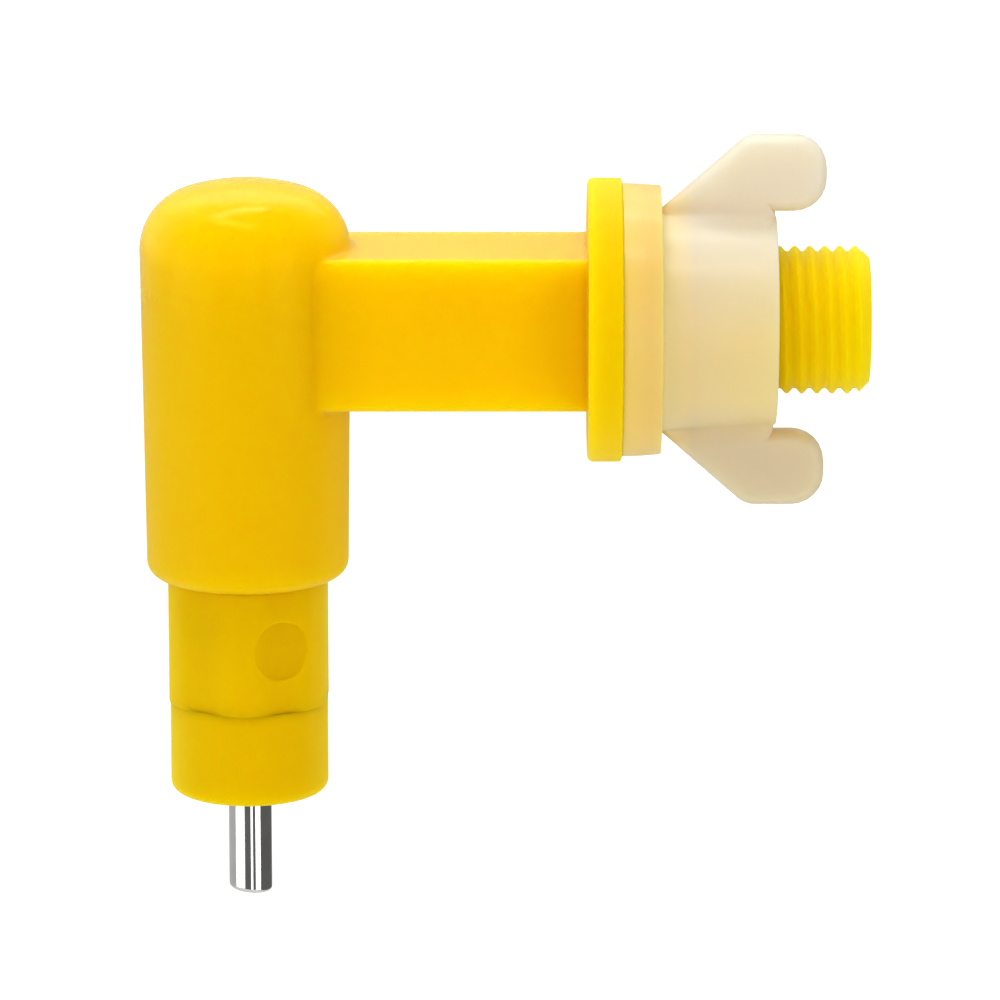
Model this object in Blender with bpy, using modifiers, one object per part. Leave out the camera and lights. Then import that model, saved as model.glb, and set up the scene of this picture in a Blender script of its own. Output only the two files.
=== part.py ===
"""Elbow nipple drinker for poultry: a plastic elbow that clamps through a tank wall with a
threaded spigot, a sealing washer and a wing nut, and carries a ball valve with a steel
trigger pin that hangs below it.

Frame: metres, +Z up. The origin is the centre of the flange face that seals on the tank
wall. +X runs along the spigot into the tank, and the barrel of the elbow stands at -X.
Run with: blender --background --python part.py
"""
import math

import bmesh
import bpy
from mathutils import Matrix, Vector

MM = 0.001

# Fits: what touches on the real object keeps one of these gaps here
SEAM_GAP = 0.1 * MM
SEAT_GAP = 0.15 * MM
FIT_GAP = 0.3 * MM
THREAD_CLEARANCE = 0.13 * MM
WASHER_BORE_CLEARANCE = 0.25 * MM

# Barrel of the elbow, upright, with a crowned top and a moulding draft
BARREL_OFFSET = 23.2 * MM
BARREL_TOP_RADIUS = 6.51 * MM
BARREL_DRAFT = 0.23 * MM
BARREL_RISE = 8.75 * MM
BARREL_DROP = 16.15 * MM
BARREL_CROWN = 0.4 * MM
BARREL_SHOULDER_ROUND = 3.9 * MM
BARREL_RIM_ROUND = 1.0 * MM
BARREL_BORE_RADIUS = 4.6 * MM
BARREL_BORE_RISE = 5.4 * MM
BARREL_BORE_END_ROUND = 2.4 * MM

# Square arm between the barrel and the flange, its middle a little below the spigot's line
ARM_HEIGHT = 9.5 * MM
ARM_DEPTH = 9.6 * MM
ARM_DROP = 0.08 * MM
ARM_EDGE_ROUND = 0.5 * MM
ARM_ROOT_FILLET = 0.5 * MM

# Flange and threaded spigot
FLANGE_RADIUS = 8.77 * MM
FLANGE_THICKNESS = 2.12 * MM
FLANGE_FACE_ROUND = 0.3 * MM
FLANGE_BACK_ROUND = 0.35 * MM
SPIGOT_LENGTH = 15.25 * MM
SPIGOT_CREST_RADIUS = 4.56 * MM
SPIGOT_END_CHAMFER = 0.7 * MM
THREAD_PITCH = 0.93 * MM
THREAD_DEPTH = 0.32 * MM
THREAD_CREST_WIDTH = 0.17 * MM
THREAD_FOOT_WIDTH = 0.74 * MM
WATERWAY_RADIUS = 1.7 * MM

# Sealing washer and wing nut
WASHER_INSET = 0.32 * MM
WASHER_THICKNESS = 2.1 * MM
WASHER_TAPER = 0.14 * MM
WASHER_EDGE_ROUND = 0.15 * MM
NUT_BASE_RADIUS = 6.85 * MM
NUT_END_RADIUS = 6.48 * MM
NUT_LENGTH = 7.2 * MM
NUT_EDGE_ROUND = 0.15 * MM
WING_TIP_HEIGHT = 11.6 * MM
WING_REACH_PAST_NUT = 3.05 * MM
WING_THROAT_RISE = 0.45 * MM
WING_THICKNESS = 2.2 * MM
WING_SLOPE = math.radians(41.4)
WING_HEEL_ROUND = 1.6 * MM
WING_TIP_ROUND = 2.0 * MM
WING_THROAT_ROUND = 2.0 * MM
WING_EDGE_ROUND = 0.8 * MM

# Valve body: a collar with six flats, and a plug inside the barrel
COLLAR_HEIGHT = 7.8 * MM
COLLAR_CORNER_RADIUS = 5.13 * MM
COLLAR_ACROSS_FLATS = 9.8 * MM
COLLAR_FLAT_COUNT = 6
COLLAR_FLAT_TURN = math.radians(27.0)
COLLAR_EDGE_ROUND = 0.2 * MM
PLUG_HEIGHT = 10.0 * MM
INLET_RADIUS = 1.5 * MM
INLET_FUNNEL = 0.9 * MM
BALL_CHAMBER_RADIUS = 2.6 * MM
MARK_RADIUS = 1.87 * MM
MARK_DEPTH = 0.12 * MM
MARK_DROP = 3.8 * MM

# Ring seal between the plug and the bore
O_RING_THICKNESS = 1.2 * MM
O_RING_DROP = 2.6 * MM
O_RING_GAP = 0.08 * MM

# Lower cap, which carries the pin
CAP_HEIGHT = 5.85 * MM
CAP_RADIUS = 4.93 * MM
CAP_BOTTOM_ROUND = 0.65 * MM
CAP_PLUG_HEIGHT = 1.1 * MM
CAP_PLUG_RADIUS = 3.6 * MM
CAP_CHAMBER_RADIUS = 2.75 * MM
CAP_FLOOR = 1.9 * MM
CAP_HOLE_RADIUS = 1.95 * MM
CAP_HOLE_FLARE = 0.35 * MM

# Seat rings of the pin and of the ball
PIN_SEAT_THICKNESS = 1.0 * MM
PIN_SEAT_HOLE_RADIUS = 1.78 * MM
BALL_SEAT_THICKNESS = 1.2 * MM
BALL_SEAT_HOLE_RADIUS = 1.45 * MM

# Ball and trigger pin
BALL_RADIUS = 2.0 * MM
PIN_RADIUS = 1.35 * MM
PIN_SHOWING = 6.6 * MM
PIN_HEAD_RADIUS = 2.2 * MM
PIN_HEAD_CROWN = 0.8 * MM
PIN_TIP_RADIUS = 0.85 * MM
PIN_END_ROUND = 0.3 * MM
PIN_END_SLANT = math.radians(5.4)
PIN_LIFT = 1.0 * MM

# Places that follow from the sizes above
BARREL_X = -BARREL_OFFSET
BARREL_BOTTOM_RADIUS = BARREL_TOP_RADIUS - BARREL_DRAFT
WASHER_RADIUS = FLANGE_RADIUS - WASHER_INSET
WASHER_START = SEAM_GAP
NUT_START = WASHER_START + WASHER_THICKNESS + SEAM_GAP
COLLAR_TOP = -BARREL_DROP - SEAM_GAP
COLLAR_BOTTOM = COLLAR_TOP - COLLAR_HEIGHT
PLUG_RADIUS = BARREL_BORE_RADIUS - FIT_GAP
PLUG_TOP = COLLAR_TOP + PLUG_HEIGHT
O_RING_Z = PLUG_TOP - O_RING_DROP
O_RING_RADIUS = BARREL_BORE_RADIUS - O_RING_GAP - O_RING_THICKNESS / 2
CAP_TOP = COLLAR_BOTTOM - SEAM_GAP
CAP_BOTTOM = CAP_TOP - CAP_HEIGHT
CAP_PLUG_TOP = CAP_TOP + CAP_PLUG_HEIGHT
CAP_SOCKET_RADIUS = CAP_PLUG_RADIUS + FIT_GAP
PIN_BOTTOM = CAP_BOTTOM - PIN_SHOWING
PIN_SEAT_BOTTOM = CAP_BOTTOM + CAP_FLOOR + SEAT_GAP
PIN_SEAT_TOP = PIN_SEAT_BOTTOM + PIN_SEAT_THICKNESS
PIN_PIVOT_Z = PIN_SEAT_TOP + math.sqrt((PIN_HEAD_RADIUS + SEAT_GAP) ** 2 - PIN_SEAT_HOLE_RADIUS ** 2)
BALL_SEAT_BOTTOM = CAP_PLUG_TOP + SEAT_GAP
BALL_SEAT_TOP = BALL_SEAT_BOTTOM + BALL_SEAT_THICKNESS
BALL_Z = BALL_SEAT_TOP + math.sqrt((BALL_RADIUS + SEAT_GAP) ** 2 - BALL_SEAT_HOLE_RADIUS ** 2)
PIN_TIP_Z = BALL_Z - BALL_RADIUS - SEAT_GAP
CHAMBER_FLOOR = BALL_SEAT_TOP + SEAT_GAP
CHAMBER_TOP = BALL_Z + BALL_RADIUS + PIN_LIFT + FIT_GAP

# Fineness of the round shapes
ROUND_STEPS = 48
SMALL_ROUND_STEPS = 28
THREAD_STEPS = 24
CORNER_STEPS = 3
WING_CORNER_STEPS = 5
ARM_SIDE_STEPS = 9
O_RING_SIDE_STEPS = 8
EASED_STEPS = 1
MERGE_DISTANCE = 0.00001

# How far one shape reaches into another that it is joined to, or past one that it cuts
JOIN = 0.6 * MM
PAST = 1.0 * MM
FILLET_SINK = 0.01 * MM
FILLET_DEPTH = 0.35 * MM


def clear_scene():
    """Remove every object that the file opened with."""
    for old in list(bpy.data.objects):
        bpy.data.objects.remove(old, do_unlink=True)


def new_collection(name):
    group = bpy.data.collections.new(name)
    bpy.context.scene.collection.children.link(group)
    return group


def link(group, name, mesh, place=(0.0, 0.0, 0.0), turn=(0.0, 0.0, 0.0)):
    made = bpy.data.objects.new(name, mesh)
    made.location = place
    made.rotation_euler = turn
    group.objects.link(made)
    return made


def as_cutter(made):
    """A helper shape that cuts, joins or trims another one: shown as wires, never rendered."""
    made.hide_render = True
    made.display_type = 'WIRE'
    return made


def new_material(name, color, roughness, metallic=0.0, transmission=0.0):
    made = bpy.data.materials.new(name)
    made.use_nodes = True
    shader = made.node_tree.nodes["Principled BSDF"]
    shader.inputs["Base Color"].default_value = (*color, 1.0)
    shader.inputs["Roughness"].default_value = roughness
    shader.inputs["Metallic"].default_value = metallic
    shader.inputs["Transmission Weight"].default_value = transmission
    made.diffuse_color = (*color, 1.0)
    return made


def arc(center, radius, start, end, steps=CORNER_STEPS):
    """Points of a round corner in a profile, from one angle to another, both in degrees."""
    points = []
    for step in range(steps + 1):
        angle = math.radians(start + (end - start) * step / steps)
        points.append((center[0] + radius * math.cos(angle), center[1] + radius * math.sin(angle)))
    return points


def turned(group, name, profile, steps=ROUND_STEPS, place=(0.0, 0.0, 0.0), along_x=False,
           closed=False, start=0.0):
    """Turn a profile of (radius, height) points about its own Z axis with a Screw modifier.

    The profile runs down its outer side. along_x lays that axis along +X. start is the angle at
    which the turning starts: it keeps the corners of two joined shapes from falling together."""
    mesh = bpy.data.meshes.new(name)
    edges = [(i, i + 1) for i in range(len(profile) - 1)]
    if closed:
        edges.append((len(profile) - 1, 0))
    points = [(radius * math.cos(start), radius * math.sin(start), height) for radius, height in profile]
    mesh.from_pydata(points, edges, [])
    made = link(group, name, mesh, place, (0.0, math.pi / 2 if along_x else 0.0, 0.0))
    screw = made.modifiers.new("turn", 'SCREW')
    screw.angle = 2 * math.pi
    screw.steps = steps
    screw.render_steps = steps
    screw.use_merge_vertices = True
    screw.merge_threshold = MERGE_DISTANCE
    screw.use_smooth_shade = True
    return made


def ring_profile(inner, outer, bottom, top, round_off, steps=CORNER_STEPS):
    """A washer's section: square inside, with both outer corners rounded."""
    points = [(inner, top)]
    points += arc((outer - round_off, top - round_off), round_off, 90, 0, steps)
    points += arc((outer - round_off, bottom + round_off), round_off, 0, -90, steps)
    points.append((inner, bottom))
    return points


def cylinder(group, name, radius, start, end, place=(0.0, 0.0, 0.0), along_x=False, steps=SMALL_ROUND_STEPS):
    """A plain cylinder between two heights on its own Z axis, made from the cone primitive."""
    mesh = bpy.data.meshes.new(name)
    shape = bmesh.new()
    bmesh.ops.create_cone(shape, cap_ends=True, segments=steps, radius1=radius, radius2=radius,
                          depth=end - start, matrix=Matrix.Translation((0.0, 0.0, (start + end) / 2)))
    shape.to_mesh(mesh)
    shape.free()
    return link(group, name, mesh, place, (0.0, math.pi / 2 if along_x else 0.0, 0.0))


def block(group, name, low, high):
    """A box between two corners, with its scale in the mesh so that a Bevel stays even."""
    mesh = bpy.data.meshes.new(name)
    shape = bmesh.new()
    size = Vector(high) - Vector(low)
    middle = (Vector(high) + Vector(low)) / 2
    bmesh.ops.create_cube(shape, size=1.0, matrix=Matrix.Translation(middle) @ Matrix.Diagonal((*size, 1.0)))
    shape.to_mesh(mesh)
    shape.free()
    return link(group, name, mesh)


def bevel(made, width, segments=3, angle=40.0):
    edge = made.modifiers.new("edges", 'BEVEL')
    edge.width = width
    edge.segments = segments
    edge.limit_method = 'ANGLE'
    edge.angle_limit = math.radians(angle)
    return edge


def boolean(made, other, operation):
    step = made.modifiers.new(operation.lower() + "_" + other.name, 'BOOLEAN')
    step.operation = operation
    step.solver = 'EXACT'
    step.object = other
    return step


def finish(made, material):
    """Give a piece its material and smooth shading with crisp edges."""
    made.data.materials.clear()
    made.data.materials.append(material)
    made.data.shade_smooth()
    made.data.set_sharp_from_angle(angle=math.radians(35.0))


def settled_mesh(made):
    """Put a shape's evaluated mesh in place of its modifiers, so that its points can be edited."""
    bpy.context.view_layer.update()
    graph = bpy.context.evaluated_depsgraph_get()
    mesh = bpy.data.meshes.new_from_object(made.evaluated_get(graph))
    made.modifiers.clear()
    made.data = mesh
    return mesh


def barrel_radius_at(height):
    """The barrel tapers evenly from its shoulder to its bottom."""
    shoulder = BARREL_RISE - BARREL_CROWN - BARREL_SHOULDER_ROUND
    share = (shoulder - height) / (shoulder + BARREL_DROP)
    return BARREL_TOP_RADIUS + (BARREL_BOTTOM_RADIUS - BARREL_TOP_RADIUS) * share


def barrel_profile():
    """From the middle of the crown, over the round shoulder, down to the rim at the bottom."""
    rounding = BARREL_SHOULDER_ROUND
    flat = BARREL_TOP_RADIUS - rounding
    shoulder = BARREL_RISE - BARREL_CROWN - rounding
    # The crown is a wide arc that runs into the shoulder without a kink
    rise = BARREL_CROWN + rounding
    crown_radius = (flat ** 2 + rise ** 2 - rounding ** 2) / (2 * (rise - rounding))
    crown_center = BARREL_RISE - crown_radius
    lean = math.degrees(math.asin(flat / (crown_radius - rounding)))
    points = [(0.0, BARREL_RISE)]
    points += arc((0.0, crown_center), crown_radius, 90, 90 - lean)[1:-1]
    points += arc((flat, shoulder), rounding, 90 - lean, 0, 2 * CORNER_STEPS)
    rim = BARREL_RIM_ROUND
    points += arc((BARREL_BOTTOM_RADIUS - rim, rim - BARREL_DROP), rim, 0, -90)
    points.append((0.0, -BARREL_DROP))
    return points


def arm_outline(grow, steps_per_corner):
    """The arm's rounded outline in Y and Z, grown outwards, as (point, outward normal) pairs."""
    pairs = []
    half_depth = ARM_DEPTH / 2 - ARM_EDGE_ROUND
    top = ARM_HEIGHT / 2 - ARM_EDGE_ROUND - ARM_DROP
    bottom = ARM_EDGE_ROUND - ARM_HEIGHT / 2 - ARM_DROP
    corners = [(half_depth, top), (-half_depth, top), (-half_depth, bottom), (half_depth, bottom)]
    for index, corner in enumerate(corners):
        for step in range(steps_per_corner + 1):
            angle = math.radians(90 * index + 90 * step / steps_per_corner)
            normal = Vector((0.0, math.cos(angle), math.sin(angle)))
            center = Vector((0.0, corner[0], corner[1]))
            pairs.append((center + normal * (ARM_EDGE_ROUND + grow), normal))
        here = pairs[-1]
        following = Vector((0.0, *corners[(index + 1) % 4])) + here[1] * (ARM_EDGE_ROUND + grow)
        for step in range(1, ARM_SIDE_STEPS):
            pairs.append((here[0].lerp(following, step / ARM_SIDE_STEPS), here[1]))
    return pairs


def arm_root_fillet(group):
    """The soft fillet between the arm and the barrel, as a ball would roll along their seam.

    Each section is an arc that touches both surfaces, closed by three points inside them."""
    sink = FILLET_SINK
    depth = FILLET_DEPTH
    ball = ARM_ROOT_FILLET
    mesh = bpy.data.meshes.new("arm_root_fillet")
    shape = bmesh.new()
    sections = []
    for point, normal in arm_outline(ball - sink, CORNER_STEPS):
        radius = barrel_radius_at(point.z)
        reach = radius + ball - sink
        center = Vector((BARREL_X + math.sqrt(reach ** 2 - point.y ** 2), point.y, point.z))
        outward = Vector((center.x - BARREL_X, center.y, 0.0)).normalized()
        on_arm = -normal
        on_barrel = -outward
        swing = on_arm.angle(on_barrel)
        section = []
        for step in range(CORNER_STEPS + 1):
            share = step / CORNER_STEPS
            direction = on_arm * math.sin((1 - share) * swing) + on_barrel * math.sin(share * swing)
            section.append(center + direction * (ball / math.sin(swing)))
        section.append(section[-1] + on_barrel * depth)
        section.append(section[0] + on_arm * depth + on_barrel * (ball + depth))
        section.append(section[0] + on_arm * depth)
        sections.append([shape.verts.new(place) for place in section])
    count = len(sections)
    for index in range(count):
        here = sections[index]
        after = sections[(index + 1) % count]
        for side in range(len(here)):
            ahead = (side + 1) % len(here)
            shape.faces.new((here[side], here[ahead], after[ahead], after[side]))
    bmesh.ops.recalc_face_normals(shape, faces=shape.faces)
    shape.to_mesh(mesh)
    shape.free()
    return link(group, "arm_root_fillet", mesh)


def thread_ridge(group, name, grow_radius, grow_side, end):
    """One V ridge wound along +X with a Screw modifier, its two open ends closed afterwards.

    A grown copy of the spigot's ridge cuts the groove in the nut. Both start at the same place,
    so that they stay in step."""
    start = -2 * THREAD_PITCH
    crest = SPIGOT_CREST_RADIUS + grow_radius
    foot = SPIGOT_CREST_RADIUS - THREAD_DEPTH + grow_radius - SEAM_GAP
    crest_half = THREAD_CREST_WIDTH / 2 + grow_side
    foot_half = THREAD_FOOT_WIDTH / 2 + grow_side
    turns = math.ceil((end - start) / THREAD_PITCH)
    profile = [(foot, foot_half), (crest, crest_half), (crest, -crest_half), (foot, -foot_half)]
    mesh = bpy.data.meshes.new(name)
    edges = [(0, 1), (1, 2), (2, 3), (3, 0)]
    mesh.from_pydata([(radius, 0.0, height) for radius, height in profile], edges, [])
    made = link(group, name, mesh, (start, 0.0, 0.0), (0.0, math.pi / 2, 0.0))
    screw = made.modifiers.new("wind", 'SCREW')
    screw.angle = 2 * math.pi
    screw.screw_offset = THREAD_PITCH
    screw.iterations = turns
    screw.steps = THREAD_STEPS
    screw.render_steps = THREAD_STEPS
    wound = settled_mesh(made)
    shape = bmesh.new()
    shape.from_mesh(wound)
    rims = [edge for edge in shape.edges if edge.is_boundary]
    bmesh.ops.holes_fill(shape, edges=rims, sides=len(profile))
    bmesh.ops.recalc_face_normals(shape, faces=shape.faces)
    shape.to_mesh(wound)
    shape.free()
    return made


def spigot(group):
    """The spigot's core with its thread, trimmed by a chamfered envelope."""
    root = SPIGOT_CREST_RADIUS - THREAD_DEPTH
    end = SPIGOT_LENGTH
    half_step = math.pi / THREAD_STEPS
    core = turned(group, "spigot_core", [(0.0, end + PAST), (root, end + PAST), (root, -JOIN), (0.0, -JOIN)],
                  THREAD_STEPS, along_x=True, start=half_step)
    ridge = thread_ridge(group, "spigot_ridge", 0.0, 0.0, end + THREAD_PITCH)
    outside = SPIGOT_CREST_RADIUS + THREAD_DEPTH
    chamfer = SPIGOT_END_CHAMFER
    envelope = turned(group, "spigot_envelope", [
        (0.0, end),
        (SPIGOT_CREST_RADIUS - chamfer, end),
        (outside, end - chamfer - THREAD_DEPTH),
        (outside, -JOIN / 2),
        (0.0, -JOIN / 2)], along_x=True, start=half_step / 3)
    boolean(core, ridge, 'UNION')
    boolean(core, envelope, 'INTERSECT')
    return core


def elbow_body(group, tools, material):
    """Barrel, arm, flange and spigot in one moulding, bored for the valve and the water."""
    elbow = turned(group, "elbow_body", barrel_profile(), place=(BARREL_X, 0.0, 0.0))
    arm = block(tools, "arm", (BARREL_X, -ARM_DEPTH / 2, -ARM_HEIGHT / 2 - ARM_DROP),
                (-FLANGE_THICKNESS + JOIN, ARM_DEPTH / 2, ARM_HEIGHT / 2 - ARM_DROP))
    bevel(arm, ARM_EDGE_ROUND)
    face = FLANGE_FACE_ROUND
    back = FLANGE_BACK_ROUND
    profile = [(0.0, 0.0)]
    profile += arc((FLANGE_RADIUS - face, -face), face, 90, 0)
    profile += arc((FLANGE_RADIUS - back, back - FLANGE_THICKNESS), back, 0, -90)
    profile.append((0.0, -FLANGE_THICKNESS))
    flange = turned(tools, "flange", profile, along_x=True)
    round_end = BARREL_BORE_END_ROUND
    bore_profile = [(0.0, BARREL_BORE_RISE)]
    bore_profile += arc((BARREL_BORE_RADIUS - round_end, BARREL_BORE_RISE - round_end), round_end, 90, 0)
    bore_profile.append((BARREL_BORE_RADIUS, -BARREL_DROP - PAST))
    bore_profile.append((0.0, -BARREL_DROP - PAST))
    bore = turned(tools, "barrel_bore", bore_profile, place=(BARREL_X, 0.0, 0.0))
    waterway = cylinder(tools, "waterway", WATERWAY_RADIUS, BARREL_X, SPIGOT_LENGTH + PAST, along_x=True)
    for joined in (arm, arm_root_fillet(tools), flange, spigot(tools)):
        boolean(elbow, as_cutter(joined), 'UNION')
    for cut in (bore, waterway):
        boolean(elbow, as_cutter(cut), 'DIFFERENCE')
    finish(elbow, material)
    return elbow


def sealing_washer(group, material):
    """The soft washer between the flange and the nut, a little narrower on the nut's side."""
    bore = SPIGOT_CREST_RADIUS + WASHER_BORE_CLEARANCE
    profile = ring_profile(bore, WASHER_RADIUS, 0.0, WASHER_THICKNESS, WASHER_EDGE_ROUND)
    for index, (radius, height) in enumerate(profile):
        if radius > bore:
            profile[index] = (radius - WASHER_TAPER * height / WASHER_THICKNESS, height)
    washer = turned(group, "sealing_washer", profile, place=(WASHER_START, 0.0, 0.0), along_x=True, closed=True)
    finish(washer, material)
    return washer


def wing_outline():
    """One wing in (along the spigot, away from the axis): a sloped back, a flat tip, a round throat."""
    end = NUT_LENGTH + WING_REACH_PAST_NUT
    root = (SPIGOT_CREST_RADIUS + THREAD_CLEARANCE + NUT_END_RADIUS) / 2
    throat = NUT_END_RADIUS + WING_THROAT_RISE
    slope_run = (WING_TIP_HEIGHT - NUT_BASE_RADIUS) / math.tan(WING_SLOPE)
    corners = [((0.0, root), 0.0), ((NUT_LENGTH - NUT_EDGE_ROUND, root), 0.0),
               ((NUT_LENGTH - NUT_EDGE_ROUND, throat), 0.0), ((end, throat), WING_THROAT_ROUND),
               ((end, WING_TIP_HEIGHT), WING_TIP_ROUND), ((slope_run, WING_TIP_HEIGHT), WING_HEEL_ROUND),
               ((0.0, NUT_BASE_RADIUS), 0.0)]
    return round_corners(corners)


def round_corners(corners, steps=WING_CORNER_STEPS):
    """Replace each corner of an outline by an arc of its own radius that meets both sides."""
    points = []
    for index, (corner, radius) in enumerate(corners):
        here = Vector(corner)
        if radius == 0.0:
            points.append(tuple(here))
            continue
        before = (Vector(corners[index - 1][0]) - here).normalized()
        after = (Vector(corners[(index + 1) % len(corners)][0]) - here).normalized()
        half = before.angle(after) / 2
        center = here + (before + after).normalized() * (radius / math.sin(half))
        first = here + before * (radius / math.tan(half)) - center
        last = here + after * (radius / math.tan(half)) - center
        swing = first.angle_signed(last)
        for step in range(steps + 1):
            angle = -swing * step / steps
            turn = Matrix.Rotation(angle, 2)
            points.append(tuple(center + turn @ first))
    return points


def wing(group, name, turn):
    """A wing as a filled outline curve, made a mesh so that it can be joined to the nut."""
    curve = bpy.data.curves.new(name, 'CURVE')
    curve.dimensions = '2D'
    curve.fill_mode = 'BOTH'
    curve.extrude = WING_THICKNESS / 2
    outline = wing_outline()
    spline = curve.splines.new('POLY')
    spline.points.add(len(outline) - 1)
    for point, (x, y) in zip(spline.points, outline):
        point.co = (x, y, 0.0, 1.0)
    spline.use_cyclic_u = True
    drawn = bpy.data.objects.new(name + "_outline", curve)
    drawn.location = (NUT_START, 0.0, 0.0)
    drawn.rotation_euler = (math.pi / 2 + turn, 0.0, 0.0)
    group.objects.link(drawn)
    bpy.context.view_layer.update()
    mesh = bpy.data.meshes.new_from_object(drawn.evaluated_get(bpy.context.evaluated_depsgraph_get()))
    shape = bmesh.new()
    shape.from_mesh(mesh)
    bmesh.ops.remove_doubles(shape, verts=shape.verts, dist=MERGE_DISTANCE)
    bmesh.ops.recalc_face_normals(shape, faces=shape.faces)
    shape.to_mesh(mesh)
    shape.free()
    made = link(group, name, mesh)
    made.matrix_world = drawn.matrix_world
    bpy.data.objects.remove(drawn, do_unlink=True)
    bevel(made, WING_EDGE_ROUND, 3, 50.0)
    return made


def wing_nut(group, tools, material):
    """The nut's tapered body with two opposite wings, and a thread that meets the spigot's."""
    edge = NUT_EDGE_ROUND
    profile = [(0.0, NUT_LENGTH)]
    profile += arc((NUT_END_RADIUS - edge, NUT_LENGTH - edge), edge, 90, 0)
    profile += arc((NUT_BASE_RADIUS - edge, edge), edge, 0, -90)
    profile.append((0.0, 0.0))
    nut = turned(group, "wing_nut", profile, place=(NUT_START, 0.0, 0.0), along_x=True)
    for name, turn in (("upper_wing", 0.0), ("lower_wing", math.pi)):
        boolean(nut, as_cutter(wing(tools, name, turn)), 'UNION')
    end = NUT_START + NUT_LENGTH
    root = SPIGOT_CREST_RADIUS - THREAD_DEPTH + THREAD_CLEARANCE
    tap = turned(tools, "nut_tap", [(0.0, end + PAST), (root, end + PAST),
                                    (root, NUT_START - PAST), (0.0, NUT_START - PAST)],
                 THREAD_STEPS, along_x=True, start=math.pi / THREAD_STEPS)
    groove = thread_ridge(tools, "nut_groove", THREAD_CLEARANCE, THREAD_CLEARANCE / 2, end + THREAD_PITCH)
    boolean(tap, as_cutter(groove), 'UNION')
    boolean(nut, as_cutter(tap), 'DIFFERENCE')
    finish(nut, material)
    return nut


def collar_outline():
    """The collar's section: a round with flats cut on it, as (x, y) points."""
    points = []
    apothem = COLLAR_ACROSS_FLATS / 2
    flat_half = math.acos(apothem / COLLAR_CORNER_RADIUS)
    between = 2 * math.pi / COLLAR_FLAT_COUNT
    corner_steps = 2 * CORNER_STEPS
    for index in range(COLLAR_FLAT_COUNT):
        first = COLLAR_FLAT_TURN - math.pi / 2 + between * index + flat_half
        sweep = between - 2 * flat_half
        for step in range(corner_steps + 1):
            angle = first + sweep * step / corner_steps
            points.append((COLLAR_CORNER_RADIUS * math.cos(angle), COLLAR_CORNER_RADIUS * math.sin(angle)))
    return points


def collar(group):
    """The part of the valve body that shows, drawn up from its section and softly bevelled."""
    mesh = bpy.data.meshes.new("collar")
    shape = bmesh.new()
    base = shape.faces.new([shape.verts.new((x, y, COLLAR_BOTTOM)) for x, y in collar_outline()])
    grown = bmesh.ops.extrude_face_region(shape, geom=[base])
    raised = [part for part in grown["geom"] if isinstance(part, bmesh.types.BMVert)]
    bmesh.ops.translate(shape, verts=raised, vec=(0.0, 0.0, COLLAR_HEIGHT))
    bmesh.ops.recalc_face_normals(shape, faces=shape.faces)
    shape.to_mesh(mesh)
    shape.free()
    made = link(group, "collar", mesh, (BARREL_X, 0.0, 0.0))
    bevel(made, COLLAR_EDGE_ROUND, 2, 60.0)
    return made


def valve_body(group, tools, material):
    """Collar and plug in one moulding, with the ball's chamber, the inlet and the cap's socket."""
    groove_floor = O_RING_RADIUS - O_RING_THICKNESS / 2 - O_RING_GAP
    groove_half = O_RING_THICKNESS / 2 + O_RING_GAP
    chamfer = FIT_GAP
    body = turned(group, "valve_body", [
        (0.0, PLUG_TOP),
        (PLUG_RADIUS - chamfer, PLUG_TOP),
        (PLUG_RADIUS, PLUG_TOP - chamfer),
        (PLUG_RADIUS, O_RING_Z + groove_half),
        (groove_floor, O_RING_Z + groove_half),
        (groove_floor, O_RING_Z - groove_half),
        (PLUG_RADIUS, O_RING_Z - groove_half),
        (PLUG_RADIUS, COLLAR_TOP - JOIN),
        (0.0, COLLAR_TOP - JOIN)], SMALL_ROUND_STEPS, place=(BARREL_X, 0.0, 0.0))
    hollow = turned(tools, "valve_hollow", [
        (0.0, PLUG_TOP + PAST),
        (INLET_RADIUS + INLET_FUNNEL + PAST, PLUG_TOP + PAST),
        (INLET_RADIUS, PLUG_TOP - INLET_FUNNEL),
        (INLET_RADIUS, CHAMBER_TOP),
        (BALL_CHAMBER_RADIUS, CHAMBER_TOP - (BALL_CHAMBER_RADIUS - INLET_RADIUS)),
        (BALL_CHAMBER_RADIUS, CHAMBER_FLOOR),
        (CAP_SOCKET_RADIUS, CHAMBER_FLOOR),
        (CAP_SOCKET_RADIUS, COLLAR_BOTTOM - PAST),
        (0.0, COLLAR_BOTTOM - PAST)], SMALL_ROUND_STEPS, place=(BARREL_X, 0.0, 0.0))
    outward = Vector((math.sin(COLLAR_FLAT_TURN), -math.cos(COLLAR_FLAT_TURN), 0.0))
    middle = Vector((BARREL_X, 0.0, COLLAR_TOP - MARK_DROP)) + outward * (COLLAR_ACROSS_FLATS / 2)
    mark = cylinder(tools, "mark_recess", MARK_RADIUS, -MARK_DEPTH, PAST, tuple(middle))
    mark.rotation_euler = outward.to_track_quat('Z', 'Y').to_euler()
    boolean(body, as_cutter(collar(tools)), 'UNION')
    boolean(body, as_cutter(hollow), 'DIFFERENCE')
    boolean(body, as_cutter(mark), 'DIFFERENCE')
    finish(body, material)
    return body


def o_ring(group, material):
    """The ring seal in the plug's groove."""
    bpy.ops.mesh.primitive_torus_add(major_segments=SMALL_ROUND_STEPS, minor_segments=O_RING_SIDE_STEPS,
                                     major_radius=O_RING_RADIUS, minor_radius=O_RING_THICKNESS / 2,
                                     location=(BARREL_X, 0.0, O_RING_Z))
    ring = bpy.context.active_object
    for owner in list(ring.users_collection):
        owner.objects.unlink(ring)
    group.objects.link(ring)
    ring.name = "plug_o_ring"
    finish(ring, material)
    return ring


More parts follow.
